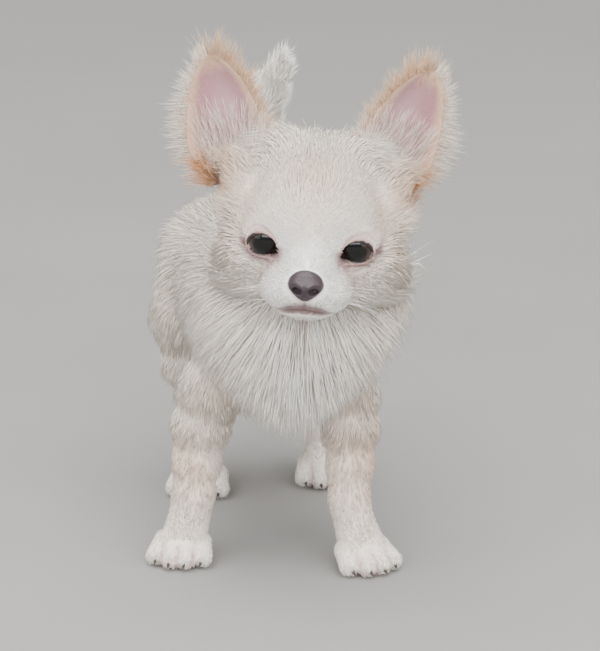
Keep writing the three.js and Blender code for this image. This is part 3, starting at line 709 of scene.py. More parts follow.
class Finish:
    """Makes the node materials of the dog."""

    @staticmethod
    def blank(name: str) -> tuple[bpy.types.Material, bpy.types.NodeTree, bpy.types.Node]:
        """Make a material and give its tree and its shader.

        Args:
            name: The material's name.

        Returns:
            The material, its tree and its shader.
        """
        material = bpy.data.materials.new(name)
        material.use_nodes = True
        tree = material.node_tree
        return material, tree, tree.nodes["Principled BSDF"]

    @staticmethod
    def mottle_group() -> bpy.types.NodeTree:
        """Make a group that varies a colour by fine and broad noise.

        Returns:
            The group.
        """
        group = bpy.data.node_groups.new("Mottle", "ShaderNodeTree")
        face = group.interface
        face.new_socket("Color", in_out="INPUT", socket_type="NodeSocketColor")
        face.new_socket("Scale", in_out="INPUT", socket_type="NodeSocketFloat")
        face.new_socket("Amount", in_out="INPUT", socket_type="NodeSocketFloat")
        face.new_socket("Color", in_out="OUTPUT", socket_type="NodeSocketColor")
        face.new_socket("Mask", in_out="OUTPUT", socket_type="NodeSocketFloat")
        nodes, links = group.nodes, group.links
        start = nodes.new("NodeGroupInput")
        end = nodes.new("NodeGroupOutput")
        place = nodes.new("ShaderNodeTexCoord")
        noise = nodes.new("ShaderNodeTexNoise")
        noise.inputs["Detail"].default_value = 4.0
        spread = nodes.new("ShaderNodeMapRange")
        spread.inputs["To Min"].default_value = -1.0
        amount = nodes.new("ShaderNodeMath")
        amount.operation = "MULTIPLY_ADD"
        amount.inputs[2].default_value = 1.0
        shade = nodes.new("ShaderNodeVectorMath")
        shade.operation = "SCALE"
        links.new(place.outputs["Object"], noise.inputs["Vector"])
        links.new(start.outputs["Scale"], noise.inputs["Scale"])
        links.new(noise.outputs["Fac"], spread.inputs["Value"])
        links.new(spread.outputs["Result"], amount.inputs[0])
        links.new(start.outputs["Amount"], amount.inputs[1])
        links.new(start.outputs["Color"], shade.inputs[0])
        links.new(amount.outputs[0], shade.inputs["Scale"])
        links.new(shade.outputs[0], end.inputs["Color"])
        links.new(noise.outputs["Fac"], end.inputs["Mask"])
        return group


@dataclass(frozen=True)
class HairFinish:
    """Soft hair whose colour comes from the coat_tint attribute."""

    name: str
    roughness: float
    sheen: float
    variation: float
    scale: float
    bump: float = 0.0
    specular: float = 0.2
    sheen_roughness: float = 0.5
    bump_strength: float = 0.6

    def build(self, mottle: bpy.types.NodeTree) -> bpy.types.Material:
        """Make the material.

        Args:
            mottle: The group that varies the colour.

        Returns:
            The material.
        """
        material, tree, shader = Finish.blank(self.name)
        tint = tree.nodes.new("ShaderNodeAttribute")
        tint.attribute_name = "coat_tint"
        vary = tree.nodes.new("ShaderNodeGroup")
        vary.node_tree = mottle
        vary.inputs["Scale"].default_value = self.scale
        vary.inputs["Amount"].default_value = self.variation
        tree.links.new(tint.outputs["Color"], vary.inputs["Color"])
        tree.links.new(vary.outputs["Color"], shader.inputs["Base Color"])
        shader.inputs["Roughness"].default_value = self.roughness
        shader.inputs["Specular IOR Level"].default_value = self.specular
        shader.inputs["Sheen Weight"].default_value = self.sheen
        shader.inputs["Sheen Roughness"].default_value = self.sheen_roughness
        if self.bump:
            bump = tree.nodes.new("ShaderNodeBump")
            bump.inputs["Distance"].default_value = self.bump * MM
            bump.inputs["Strength"].default_value = self.bump_strength
            tree.links.new(vary.outputs["Mask"], bump.inputs["Height"])
            tree.links.new(bump.outputs["Normal"], shader.inputs["Normal"])
        return material


@dataclass(frozen=True)
class EyeFinish:
    """A wet, very dark eye with a brown ring that barely shows.

    Each ring is a place on the way from the white to the pupil, and its colour.
    """

    name: str
    white: tuple[float, Point] = (0.56, (0.26, 0.2, 0.18))
    edge: tuple[float, Point] = (0.64, (0.008, 0.005, 0.004))
    rings: tuple[tuple[float, Point], ...] = (
        (0.74, (0.035, 0.018, 0.010)), (0.86, (0.022, 0.011, 0.007)), (0.9, (0.003, 0.003, 0.003)),
    )
    roughness: float = 0.05
    specular: float = 0.36

    def build(self, gaze: np.ndarray, centre: np.ndarray) -> bpy.types.Material:
        """Make the material for an eye that looks along a direction.

        Args:
            gaze: Direction in which the eye looks.
            centre: Middle of the eyeball in metres.

        Returns:
            The material.
        """
        material, tree, shader = Finish.blank(self.name)
        nodes, links = tree.nodes, tree.links
        place = nodes.new("ShaderNodeTexCoord")
        offset = nodes.new("ShaderNodeVectorMath")
        offset.operation = "SUBTRACT"
        offset.inputs[1].default_value = tuple(centre)
        aim = nodes.new("ShaderNodeVectorMath")
        aim.operation = "DOT_PRODUCT"
        aim.inputs[1].default_value = tuple(gaze / (EYE_RADIUS * MM))
        ring = nodes.new("ShaderNodeValToRGB")
        stops = ring.color_ramp.elements
        for stop, (position, colour) in zip(stops, (self.white, self.edge)):
            stop.position = position
            stop.color = (*colour, 1)
        for position, colour in self.rings:
            stops.new(position).color = (*colour, 1)
        links.new(place.outputs["Object"], offset.inputs[0])
        links.new(offset.outputs[0], aim.inputs[0])
        links.new(aim.outputs["Value"], ring.inputs["Fac"])
        links.new(ring.outputs["Color"], shader.inputs["Base Color"])
        shader.inputs["Roughness"].default_value = self.roughness
        shader.inputs["Specular IOR Level"].default_value = self.specular
        return material


@dataclass(frozen=True)
class MoistFinish:
    """Bare, finely pebbled skin, as on the nose, the lid rims and the pads."""

    name: str
    colour: Point
    roughness: float
    pebble: float
    bump: float
    mottle_scale: float = 260.0
    mottle_amount: float = 0.35
    bump_strength: float = 0.7

    def build(self, mottle: bpy.types.NodeTree) -> bpy.types.Material:
        """Make the material with a pebbled bump and a mottled colour.

        Args:
            mottle: The group that varies the colour.

        Returns:
            The material.
        """
        material, tree, shader = Finish.blank(self.name)
        nodes, links = tree.nodes, tree.links
        vary = nodes.new("ShaderNodeGroup")
        vary.node_tree = mottle
        vary.inputs["Color"].default_value = (*self.colour, 1.0)
        vary.inputs["Scale"].default_value = self.mottle_scale
        vary.inputs["Amount"].default_value = self.mottle_amount
        place = nodes.new("ShaderNodeTexCoord")
        cells = nodes.new("ShaderNodeTexVoronoi")
        cells.inputs["Scale"].default_value = self.pebble
        bump = nodes.new("ShaderNodeBump")
        bump.inputs["Distance"].default_value = self.bump * MM
        bump.inputs["Strength"].default_value = self.bump_strength
        bump.invert = True
        links.new(place.outputs["Object"], cells.inputs["Vector"])
        links.new(cells.outputs["Distance"], bump.inputs["Height"])
        links.new(bump.outputs["Normal"], shader.inputs["Normal"])
        links.new(vary.outputs["Color"], shader.inputs["Base Color"])
        shader.inputs["Roughness"].default_value = self.roughness
        return material


@dataclass
class Skin:
    """The one skin under the coat, from the nose to the tail and down to the toes."""

    flesh: Flesh
    stand: Stand
    palette: Palette
    voxel: float = 1.5
    beads: int = 6
    pull: float = 0.9
    mouth_depth: float = 2.2
    mouth_width: float = 0.9
    philtrum_depth: float = 0.9
    bag_depth: float = 0.45
    lid_crease_depth: float = 0.5
    socket_depth: float = 5.0
    sole_height: float = 0.15
    bare: Point = (0.62, 0.45, 0.40)

    def rough(self) -> bpy.types.Object:
        """Join a rounded primitive for each volume and remesh them into one closed skin.

        Returns:
            The skin, not yet smooth.
        """
        bpy.ops.object.select_all(action="DESELECT")
        pieces = []
        volumes = [v for group, _ in self.flesh.groups.values() for v in group]
        volumes += [v for paw in self.flesh.paws.values() for v in paw]
        for volume in volumes:
            if isinstance(volume, Ball):
                bpy.ops.mesh.primitive_uv_sphere_add(
                    segments=32, ring_count=20, location=self.stand.place(volume.at),
                    scale=tuple(r * MM for r in volume.radii))
                pieces.append(bpy.context.active_object)
                continue
            start, end = np.array(volume.start, float), np.array(volume.end, float)
            for t in np.linspace(0, 1, self.beads):
                radius = volume.radius_start + (volume.radius_end - volume.radius_start) * t
                bpy.ops.mesh.primitive_uv_sphere_add(
                    segments=20, ring_count=12, location=self.stand.place(start + (end - start) * t),
                    radius=radius * MM)
                pieces.append(bpy.context.active_object)
        for piece in pieces:
            piece.select_set(True)
        bpy.context.view_layer.objects.active = pieces[0]
        bpy.ops.object.transform_apply(location=True, rotation=True, scale=True)
        bpy.ops.object.join()
        skin = bpy.context.active_object
        skin.name = "skin"
        remesh = skin.modifiers.new("close", "REMESH")
        remesh.mode = "VOXEL"
        remesh.voxel_size = self.voxel * MM
        bpy.ops.object.modifier_apply(modifier=remesh.name)
        return skin

    def settle(self, skin: bpy.types.Object, rounds: int) -> np.ndarray:
        """Draw the skin's points onto the blended surface and give them in millimetres.

        Args:
            skin: The skin.
            rounds: Number of times to draw them in.

        Returns:
            Places in the body's frame.
        """
        points = self.stand.back(read_points(skin))
        for _ in range(rounds):
            away = self.flesh.distance(points)
            points = points - self.flesh.slope(points) * away[:, None] * self.pull
        return points

    def refine_face(self, skin: bpy.types.Object) -> None:
        """Split the faces of the muzzle and round the eyes, where the skin shows most.

        Args:
            skin: The skin.
        """
        select_only(skin)
        bpy.ops.object.mode_set(mode="EDIT")
        bpy.ops.mesh.select_all(action="DESELECT")
        bpy.ops.object.mode_set(mode="OBJECT")
        count = len(skin.data.polygons)
        centres = np.empty(count * 3, np.float32)
        skin.data.polygons.foreach_get("center", centres)
        q = HEAD.local(self.stand.back(centres.reshape(-1, 3)))
        chosen = (q[:, 1] < -18) & (np.abs(q[:, 0]) < 32) & (q[:, 2] > -32) & (q[:, 2] < 16)
        skin.data.polygons.foreach_set("select", chosen)
        bpy.ops.object.mode_set(mode="EDIT")
        bpy.ops.mesh.select_mode(type="FACE")
        bpy.ops.mesh.subdivide(number_cuts=1)
        bpy.ops.object.mode_set(mode="OBJECT")

    def carve(self, points: np.ndarray) -> np.ndarray:
        """Sink the eye openings, the line of the mouth, the philtrum and the creases under the eyes.

        Args:
            points: Places in the body's frame.

        Returns:
            The moved places.
        """
        q = HEAD.local(points)
        inward = -self.flesh.slope(points)
        depth = np.zeros(len(points))
        depth += self.mouth_depth * np.exp(-(mouth_distance(q) / self.mouth_width) ** 2)
        philtrum = np.exp(-(q[:, 0] / 0.7) ** 2) * ramp(-q[:, 1], 40, 46)
        depth += self.philtrum_depth * philtrum * ramp(q[:, 2], -20, -18) * ramp(-q[:, 2], 8, 11)
        for side in (-1, 1):
            across, up, out = eye_coordinates(points, side)
            under = np.hypot(across / 1.6, up + 8.2) - 1.5
            depth += self.bag_depth * np.exp(-(under / 1.1) ** 2) * (out > 2)
            over = up - lid_height(across, side, True) - 2.2
            crease = np.exp(-(over / 0.8) ** 2) * (out > 2) * ramp(9.5 - np.abs(across), 0, 3)
            depth += self.lid_crease_depth * crease
        depth += self.socket_depth * ramp(eye_opening(points), -0.1, 0.9)
        points = points + inward * depth[:, None]
        points[:, 2] = np.maximum(points[:, 2], self.sole_height)
        return points

    def build(self, material: bpy.types.Material) -> bpy.types.Object:
        """Make the skin and dress it.

        Args:
            material: Its material.

        Returns:
            The skin.
        """
        skin = self.rough()
        write_points(skin, self.stand.place(self.settle(skin, 5)))
        self.refine_face(skin)
        points = self.carve(self.settle(skin, 2))
        write_points(skin, self.stand.place(points))
        smooth_shade(skin)
        colours = self.palette.markings_and_shade(points)
        opening = eye_opening(points)
        mask = np.maximum(0.15, 0.8 * np.exp(-((opening + 0.5) / 2.2) ** 2))[:, None]
        colours = colours * (1 - mask) + np.array(self.bare) * mask
        liner = np.exp(-((opening - 0.4) / 0.9) ** 2) * (HEAD.local(points)[:, 1] < 0)
        colours *= 1 - 0.9 * liner[:, None]
        add_colours(skin, colours)
        dress(skin, material)
        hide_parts(*CAD_FLESH)
        return skin


@dataclass
class Strands:
    """Tufts ready to be made: one row for each."""

    roots: np.ndarray
    normals: np.ndarray
    flows: np.ndarray
    lengths: np.ndarray
    widths: np.ndarray
    rises: np.ndarray
    colours: np.ndarray
    patches: np.ndarray
    sag: np.ndarray
    clump: float = 0.5
    waves: float = 0.5
    stations: tuple[float, ...] = (0.0, 0.3, 0.62, 1.0)

    def keep(self, chosen: np.ndarray) -> "Strands":
        """Give only the chosen tufts.

        Args:
            chosen: True for each tuft to keep.

        Returns:
            The kept tufts.
        """
        rows = {item.name: getattr(self, item.name) for item in fields(self)}
        picked = {name: row[chosen] for name, row in rows.items() if isinstance(row, np.ndarray)}
        return replace(self, **picked)


@dataclass
class TuftMaker:
    """Turns rows of tufts into joined meshes of thin, tapered, three-sided blades."""

    stand: Stand
    random: np.random.Generator
    patch: float = 0.003
    limit: int = 190000
    lock_size: int = 11
    sink: float = 0.5
    floor: float = 0.3
    roll: float = 0.7
    root_shade: float = 0.86
    tip_gain: float = 0.16
    variation: float = 0.035
    brightest: float = 0.97
    corners: tuple[tuple[float, float], ...] = ((-0.5, -0.12), (0.5, -0.12), (0.0, 0.26))

    def paths(self, s: Strands) -> np.ndarray:
        """Lay each tuft's curve: out of the skin, along the flow, drawn towards its lock's tip.

        Args:
            s: The tufts.

        Returns:
            Places for each tuft and station.
        """
        count = len(s.roots)
        side = np.cross(s.normals, s.flows)
        phase = self.random.uniform(0, 2 * math.pi, count)
        wave = s.waves * self.random.normal(0.0, 0.06, count)
        rows = []
        for t in s.stations:
            lift = s.rises * (1 - (1 - t) ** 1.8)
            lift = lift - self.sink * (t == 0)
            p = s.roots + s.flows * (s.lengths * t)[:, None] + s.normals * lift[:, None]
            bend = np.sin(phase + 4.2 * t) * wave * s.lengths * t
            p = p + side * bend[:, None]
            p[:, 2] -= s.sag * t * t
            rows.append(p)
        path = np.stack(rows, axis=1)
        guides = np.sort(self.random.choice(count, max(count // self.lock_size, 1), replace=False))
        tree = kdtree.KDTree(len(guides))
        for i, g in enumerate(guides):
            tree.insert(s.roots[g], i)
        tree.balance()
        nearest = np.array([tree.find(p)[1] for p in s.roots])
        target = path[guides[nearest]]
        gap = np.linalg.norm(s.roots - s.roots[guides[nearest]], axis=1)
        pull = s.clump * np.exp(-(gap / (0.35 * s.lengths + 1.0)) ** 2)
        weight = pull[:, None] * (np.array(s.stations) ** 1.4)[None, :]
        return path + (target - path) * weight[:, :, None]

    @staticmethod
    def blade_faces(rings: int) -> np.ndarray:
        """Give the triangles of one blade that has a number of three-cornered rings and a tip.

        Args:
            rings: Number of rings.

        Returns:
            Rows of point numbers.
        """
        faces = []
        for ring in range(rings - 1):
            for k in range(3):
                a, b = ring * 3 + k, ring * 3 + (k + 1) % 3
                faces += [(a, b, b + 3), (a, b + 3, a + 3)]
        last = (rings - 1) * 3
        faces += [(last + k, last + (k + 1) % 3, rings * 3) for k in range(3)]
        return np.array(faces)

    def build(self, name: str, s: Strands, material: bpy.types.Material) -> list[bpy.types.Object]:
        """Make the pieces of one coat.

        Args:
            name: Start of the pieces' names.
            s: The tufts.
            material: Their material.

        Returns:
            The pieces made.
        """
        path = self.paths(s)
        count, rings = len(s.roots), len(s.stations) - 1
        steps = np.array(s.stations[:-1])
        taper = 0.9 + 0.1 * ramp(steps, 0.0, 0.3) - 0.45 * ramp(steps, 0.3, 0.9)
        path[:, :, 2] = np.maximum(path[:, :, 2], self.floor)
        along = unit(np.gradient(path, axis=1))
        roll = self.random.uniform(-self.roll, self.roll, count)
        side = unit(np.cross(along[:, 1], s.normals))
        up = unit(np.cross(side, along[:, 1]))
        flat = side * np.cos(roll)[:, None] + up * np.sin(roll)[:, None]
        high = unit(np.cross(flat, along[:, 1]))
        verts = np.empty((count, rings * 3 + 1, 3))
        for ring in range(rings):
            size = (s.widths * taper[ring])[:, None]
            for k, (a, b) in enumerate(self.corners):
                verts[:, ring * 3 + k] = path[:, ring] + flat * size * a + high * size * b
        verts[:, -1] = path[:, -1]
        faces = self.blade_faces(rings)
        per_piece = self.limit // len(faces)
        pieces = []
        t = np.append(np.repeat(steps, 3), 1.0)
        # painted shade: each tuft's colour is darker at its root, down in the coat, and brighter towards
        # its tip
        shade = self.root_shade + self.tip_gain * ramp(t, 0.0, 0.7)
        across = np.append(np.tile([0.0, 1.0, 0.5], rings), 0.5)
        for start in range(0, count, per_piece):
            rows = slice(start, min(start + per_piece, count))
            n = rows.stop - rows.start
            block = self.stand.place(verts[rows].reshape(-1, 3))
            index = (faces[None] + (np.arange(n) * (rings * 3 + 1))[:, None, None]).reshape(-1, 3)
            piece = mesh_object(f"{name}_{len(pieces) + 1}", block, index)
            tone = s.colours[rows][:, None, :] * shade[None, :, None]
            tone = tone * self.random.normal(1.0, self.variation, (n, 1, 1))
            add_colours(piece, np.clip(tone, 0, self.brightest).reshape(-1, 3))
            uv = s.patches[rows][:, None, :] + self.patch * (np.stack([across, t], axis=1)[None] - 0.5)
            layer = piece.data.uv_layers.new(name="OFBake")
            layer.data.foreach_set("uv", uv.reshape(-1, 2)[index.ravel()].astype(np.float32).ravel())
            smooth_shade(piece)
            dress(piece, material)
            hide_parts(*CAD_FLESH)
            pieces.append(piece)
        LOG.info("%s: %d tufts in %d pieces", name, count, len(pieces))
        return pieces


@dataclass
class Coat:
    """The hair of the body: how densely it grows, how long it is and which way it runs."""

    flesh: Flesh
    stand: Stand
    palette: Palette
    random: np.random.Generator
    flow_spread: float = 0.12
    length_spread: tuple[float, float] = (0.72, 1.2)
    width_spread: tuple[float, float] = (0.7, 1.25)
    rise_spread: tuple[float, float] = (0.6, 1.35)
    sag_share: float = 0.10
    upper_bare: float = -1.9
    lower_bare: float = -0.9
    nose_clear: Point = (7.9, 7.2, 6.9)
    sole_height: float = 0.9
    head_span: float = 55.0
    trunk_span: float = 105.0
    leg_span: float = 75.0
    tail_span: float = 55.0

    def scatter(self, skin: bpy.types.Object, count: int) -> tuple[np.ndarray, np.ndarray]:
        """Spread roots over the skin, more of them where the hair is finer.

        Args:
            skin: The skin.
            count: Number of roots to draw before some are thinned out.

        Returns:
            The roots and the outward directions there, in millimetres of the body's frame.
        """
        mesh = skin.data
        mesh.calc_loop_triangles()
        tris = np.empty(len(mesh.loop_triangles) * 3, np.int32)
        mesh.loop_triangles.foreach_get("vertices", tris)
        corner = self.stand.back(read_points(skin))[tris.reshape(-1, 3)]
        cross = np.cross(corner[:, 1] - corner[:, 0], corner[:, 2] - corner[:, 0])
        area = np.linalg.norm(cross, axis=1) / 2
        weight = area * self.density(corner.mean(axis=1))
        chosen = self.random.choice(len(area), count, p=weight / weight.sum())
        a, b = self.random.random((2, count))
        flip = a + b > 1
        a, b = np.where(flip, 1 - a, a), np.where(flip, 1 - b, b)
        first, second, third = corner[chosen].transpose(1, 0, 2)
        roots = first + (second - first) * a[:, None] + (third - first) * b[:, None]
        return roots, unit(cross[chosen])

    @staticmethod
    def density(points: np.ndarray) -> np.ndarray:
        """Find how densely the tufts grow.

        Args:
            points: Places on the skin, in the body's frame.

        Returns:
            The relative number of tufts for each square millimetre.
        """
        q = HEAD.local(points)
        head = ramp(points[:, 2], 128, 140) * ramp(-points[:, 1], -26, -18)
        face = head * ramp(-q[:, 1], 8, 22)
        muzzle = head * ramp(-q[:, 1], 24, 32)
        feet = ramp(30 - points[:, 2], 0, 10)
        tail = ramp(points[:, 2], 145, 155) * ramp(points[:, 1], 60, 80)
        crown = head * ramp(np.abs(q[:, 0]), 3, 10) * ramp(q[:, 2], 12, 20) * ramp(q[:, 1], 0, 8)
        return 1.0 + 0.9 * head + 2.2 * face + 2.6 * muzzle + 1.4 * feet + 1.6 * tail + 2.4 * crown

    def head_look(self, q: np.ndarray) -> Look:
        """Comb the hair of the head.

        Args:
            q: Roots in the head's own frame.

        Returns:
            Flow, length, rise and width of each tuft.
        """
        x, y, z = q.T
        sideways = np.sign(x) * ramp(np.abs(x), 3, 22)
        muzzle = ramp(-y, 27, 35)
        low = ramp(-z, -4, 10)
        flow = np.stack([
            sideways * (0.55 + 0.75 * low),
            0.9 - 0.2 * low,
            0.55 * (1 - low) - 0.75 * low,
        ], axis=1)
        pad = np.stack([sideways + x * 0.05, np.full_like(x, 0.55), -0.55 * ramp(-z, 2, 12)], axis=1)
        flow = flow * (1 - muzzle[:, None]) + pad * muzzle[:, None]
        cheek = ramp(np.abs(x), 16, 30) * ramp(y, -28, -6) * ramp(-z, -12, 4)
        jaw = ramp(-z, 12, 24) * ramp(y, -30, -12)
        crown = ramp(z, 16, 32)
        ear_root = ramp(np.abs(x), 3, 12) * ramp(z, 10, 18) * ramp(y, -6, 6) * ramp(-y, -30, -22)
        flow = flow + np.stack([np.sign(x) * 0.9 * ear_root, -0.3 * ear_root, 0.6 * ear_root], axis=1)
        back = ramp(y, 0, 22)
        length = 5.0 + 12.0 * cheek + 4.5 * crown + 11.0 * back + 8.0 * jaw + 3.0 * ear_root
        veil = ramp(-z, 4, 14) * ramp(np.abs(x), 12, 22) * ramp(y, -30, -14)
        length = length + 6.0 * veil
        length = length * (1 - muzzle) + 2.6 * muzzle
        eyes = np.linalg.norm(np.stack([np.abs(x) - EYE_X, y - EYE_Y + 8, z - EYE_Z], axis=1), axis=1)
        length = length * (0.42 + 0.58 * ramp(eyes, 5, 16))
        chin = ramp(-z, 21, 26) * ramp(-y, 16, 24)
        length = length + 3.0 * chin
        length = length * (0.3 + 0.7 * ramp(mouth_distance(q), 2.0, 9.0))
        rise = length * (0.2 + 0.2 * cheek + 0.14 * crown + 0.12 * back) + 5.0 * ear_root - 2.0 * veil
        width = 0.24 + 0.014 * length
        return flow, length, rise, width

    def body_look(self, p: np.ndarray) -> Look:
        """Comb the hair of the neck, the chest and the trunk.

        Args:
            p: Roots in the body's frame.

        Returns:
            Flow, length, rise and width of each tuft.
        """
        x, y, z = p.T
        front = ramp(-y, -34, -2)
        sideways = np.clip((x - 12) / 34, -1, 1)
        low = ramp(120 - z, 0, 45)
        ruff = np.stack([sideways * (0.8 - 1.15 * low), 0.35 - 0.25 * low, -np.ones_like(x)], axis=1)
        top = ramp(z, 112, 142)
        trunk = np.stack([np.full_like(x, -0.14), 0.72 + 0.28 * top, -0.95 + 0.75 * top], axis=1)
        flow = trunk * (1 - front[:, None]) + ruff * front[:, None]
        rump = ramp(y, 96, 126)
        belly = ramp(82 - z, 0, 16) * (1 - front)
        hem = front * ramp(97 - z + 1.3 * np.maximum(np.abs(x - 9) - 4, 0), 0, 24)
        length = 20.0 - 3.5 * top * (1 - front) + 4.0 * front + 1.5 * rump - 6.0 * belly - 15.0 * hem
        rise = length * (0.33 + 0.06 * front - 0.10 * top * (1 - front))
        width = 0.26 + self.random.uniform(0.0, 0.16, len(p))
        return flow, length, rise, width

    def leg_look(self, p: np.ndarray, leg: Leg) -> Look:
        """Comb the hair of one leg and its paw.

        Args:
            p: Roots in the body's frame.
            leg: The leg.

        Returns:
            Flow, length, rise and width of each tuft.
        """
        stations = np.array(leg.points, float)[::-1]
        axis_x, axis_y = (np.interp(p[:, 2], stations[:, 2], stations[:, i]) for i in (0, 1))
        behind = ramp(p[:, 1] - axis_y, 2, 8) * ramp(p[:, 2], 26, 40)
        hind = leg.part in (Part.HINDLEG_LEFT, Part.HINDLEG_RIGHT)
        paw = ramp(36 - p[:, 2], 0, 20)
        ahead = np.array([leg.paw_point(0, -1, 0)]) - np.array([leg.paw_point(0, 0, 0)])
        outward = np.sign(p[:, 0] - axis_x)
        flow = np.stack([0.12 * outward, 0.18 + 0.6 * behind, -np.ones(len(p))], axis=1)
        flow = flow * (1 - paw[:, None]) + (ahead + np.array([0, 0, -0.55])) * paw[:, None]
        high = ramp(p[:, 2], 52, 78)
        length = 4.4 + 6.0 * high + behind * (11.0 if hind else 7.0)
        length = length * (1 - paw) + 2.5 * paw
        rise = length * (0.14 + 0.14 * behind - 0.02 * paw)
        width = 0.27 + 0.014 * length
        return flow, length, rise, width

    def tail_look(self, p: np.ndarray) -> Look:
        """Comb the hair of the tail.

        Args:
            p: Roots in the body's frame.

        Returns:
            Flow, length, rise and width of each tuft.
        """
        points = np.array(TAIL_POINTS, float)
        along = unit(np.diff(points, axis=0))
        middle = (points[1:] + points[:-1]) / 2
        near = np.argmin(np.linalg.norm(p[:, None] - middle[None], axis=2), axis=1)
        flow = along[near] + np.array([0, 0, 0.5])
        tip = ramp(p[:, 2], 160, 205)
        length = 15.0 - 3.0 * tip
        return flow, length, length * (0.3 - 0.26 * tip), np.full(len(p), 0.34)

    def grow(self, skin: bpy.types.Object, count: int) -> dict[str, Strands]:
        """Root the tufts and give each its look.

        Args:
            skin: The skin that they grow on.
            count: Number of tufts to draw.

        Returns:
            The tufts of the head, the trunk, the legs and the tail.
        """
        roots, normals = self.scatter(skin, count)
        part = self.flesh.nearest_part(roots)
        q = HEAD.local(roots)
        looks = [np.empty((count, 3)), np.empty(count), np.empty(count), np.empty(count)]
        for kind in Part:
            chosen = part == kind.value
            if kind is Part.HEAD:
                flow, *sizes = self.head_look(q[chosen])
                look = (HEAD.along(flow), *sizes)
            elif kind is Part.BODY:
                look = self.body_look(roots[chosen])
            elif kind is Part.TAIL:
                look = self.tail_look(roots[chosen])
            else:
                leg = next(leg for leg in LEGS if leg.part is kind)
                look = self.leg_look(roots[chosen], leg)
            for table, values in zip(looks, look):
                table[chosen] = values
        flows, lengths, rises, widths = looks
        flows = tangent(unit(flows) + self.random.normal(0, self.flow_spread, flows.shape), normals)
        lengths = lengths * self.random.uniform(*self.length_spread, count)
        widths = widths * self.random.uniform(*self.width_spread, count)
        rises = rises * self.random.uniform(*self.rise_spread, count)
        strands = Strands(roots, normals, flows, lengths, widths, rises, self.palette.markings_and_shade(roots),
                          self.unwrap(roots, part), self.sag_share * lengths)
        good = ~self.bare(roots, q, part)
        groups = {
            "coat_head": good & (part == Part.HEAD.value),
            "coat_trunk": good & (part == Part.BODY.value),
            "coat_tail": good & (part == Part.TAIL.value),
            "coat_legs": good & (part > Part.TAIL.value),
        }
        return {name: strands.keep(chosen) for name, chosen in groups.items()}

    def bare(self, roots: np.ndarray, q: np.ndarray, part: np.ndarray) -> np.ndarray:
        """Find the roots where no hair grows: eyes, nose, lips, philtrum and soles.

        Args:
            roots: Roots in the body's frame.
            q: The same roots in the head's frame.
            part: Number of the part that each root is on.

        Returns:
            True for each root to leave out.
        """
        above = np.maximum(*(eye_coordinates(roots, side)[1] * (side * q[:, 0] > 0) for side in (-1, 1)))
        edge = np.where(above > 0, self.upper_bare, self.lower_bare)
        eyes = (eye_opening(roots) > edge) & (part == Part.HEAD.value)
        nose = np.linalg.norm((q - [0, NOSE_Y + 1.5, NOSE_Z - 0.3]) / self.nose_clear, axis=1) < 1
        height, beyond = mouth_offset(q)
        middle = ramp(12 - np.abs(q[:, 0]), 0, 6)
        lips = (height > -1.4) & (height < 1.2 + 2.6 * middle) & (beyond < 1)
        philtrum = (np.abs(q[:, 0]) < 0.6) & (q[:, 1] < -42)
        return eyes | nose | lips | philtrum | (roots[:, 2] < self.sole_height)

    def unwrap(self, points: np.ndarray, part: np.ndarray) -> np.ndarray:
        """Unwrap the skin's own shape: each part is opened out round its own axis in its own window.

        Args:
            points: Places on the skin, in the body's frame.
            part: Number of the part that each place is on.

        Returns:
            The places' coordinates in the map.
        """
        uv = np.empty((len(points), 2))
        upright = np.array([0.0, 0.0, 1.0])
        rows = {
            Part.HEAD: ((0.01, 0.55, 0.44, 0.44), HEAD.on(0, 0, 0), HEAD.axes()[:, 1], self.head_span),
            Part.BODY: ((0.5, 0.5, 0.49, 0.49), np.array([-3.0, 56.0, 104.0]),
                        unit(np.array([-22.0, 104.0, 12.0])), self.trunk_span),
            Part.TAIL: ((0.01, 0.01, 0.15, 0.4), np.array([-8.0, 122.0, 168.0]), upright,
                        self.tail_span),
        }
        for i, leg in enumerate(LEGS):
            middle = np.array(leg.points, float)[[1, -1]].mean(axis=0)
            rows[leg.part] = ((0.2 + 0.2 * i, 0.01, 0.17, 0.44), middle, upright, self.leg_span)
        for kind, ((u0, v0, width, height), origin, axis, span) in rows.items():
            chosen = part == kind.value
            guide = np.array([0.0, 0.05, 1.0] if abs(axis[2]) < 0.8 else [1.0, 0.0, 0.0])
            first = unit(np.cross(axis, guide))
            second = np.cross(axis, first)
            q = points[chosen] - origin
            angle = np.arctan2(q @ first, q @ second) / (2 * math.pi) + 0.5
            share = np.clip((q @ axis) / span * 0.5 + 0.5, 0, 1)
            uv[chosen] = np.stack([u0 + width * angle, v0 + height * share], axis=1)
        return uv


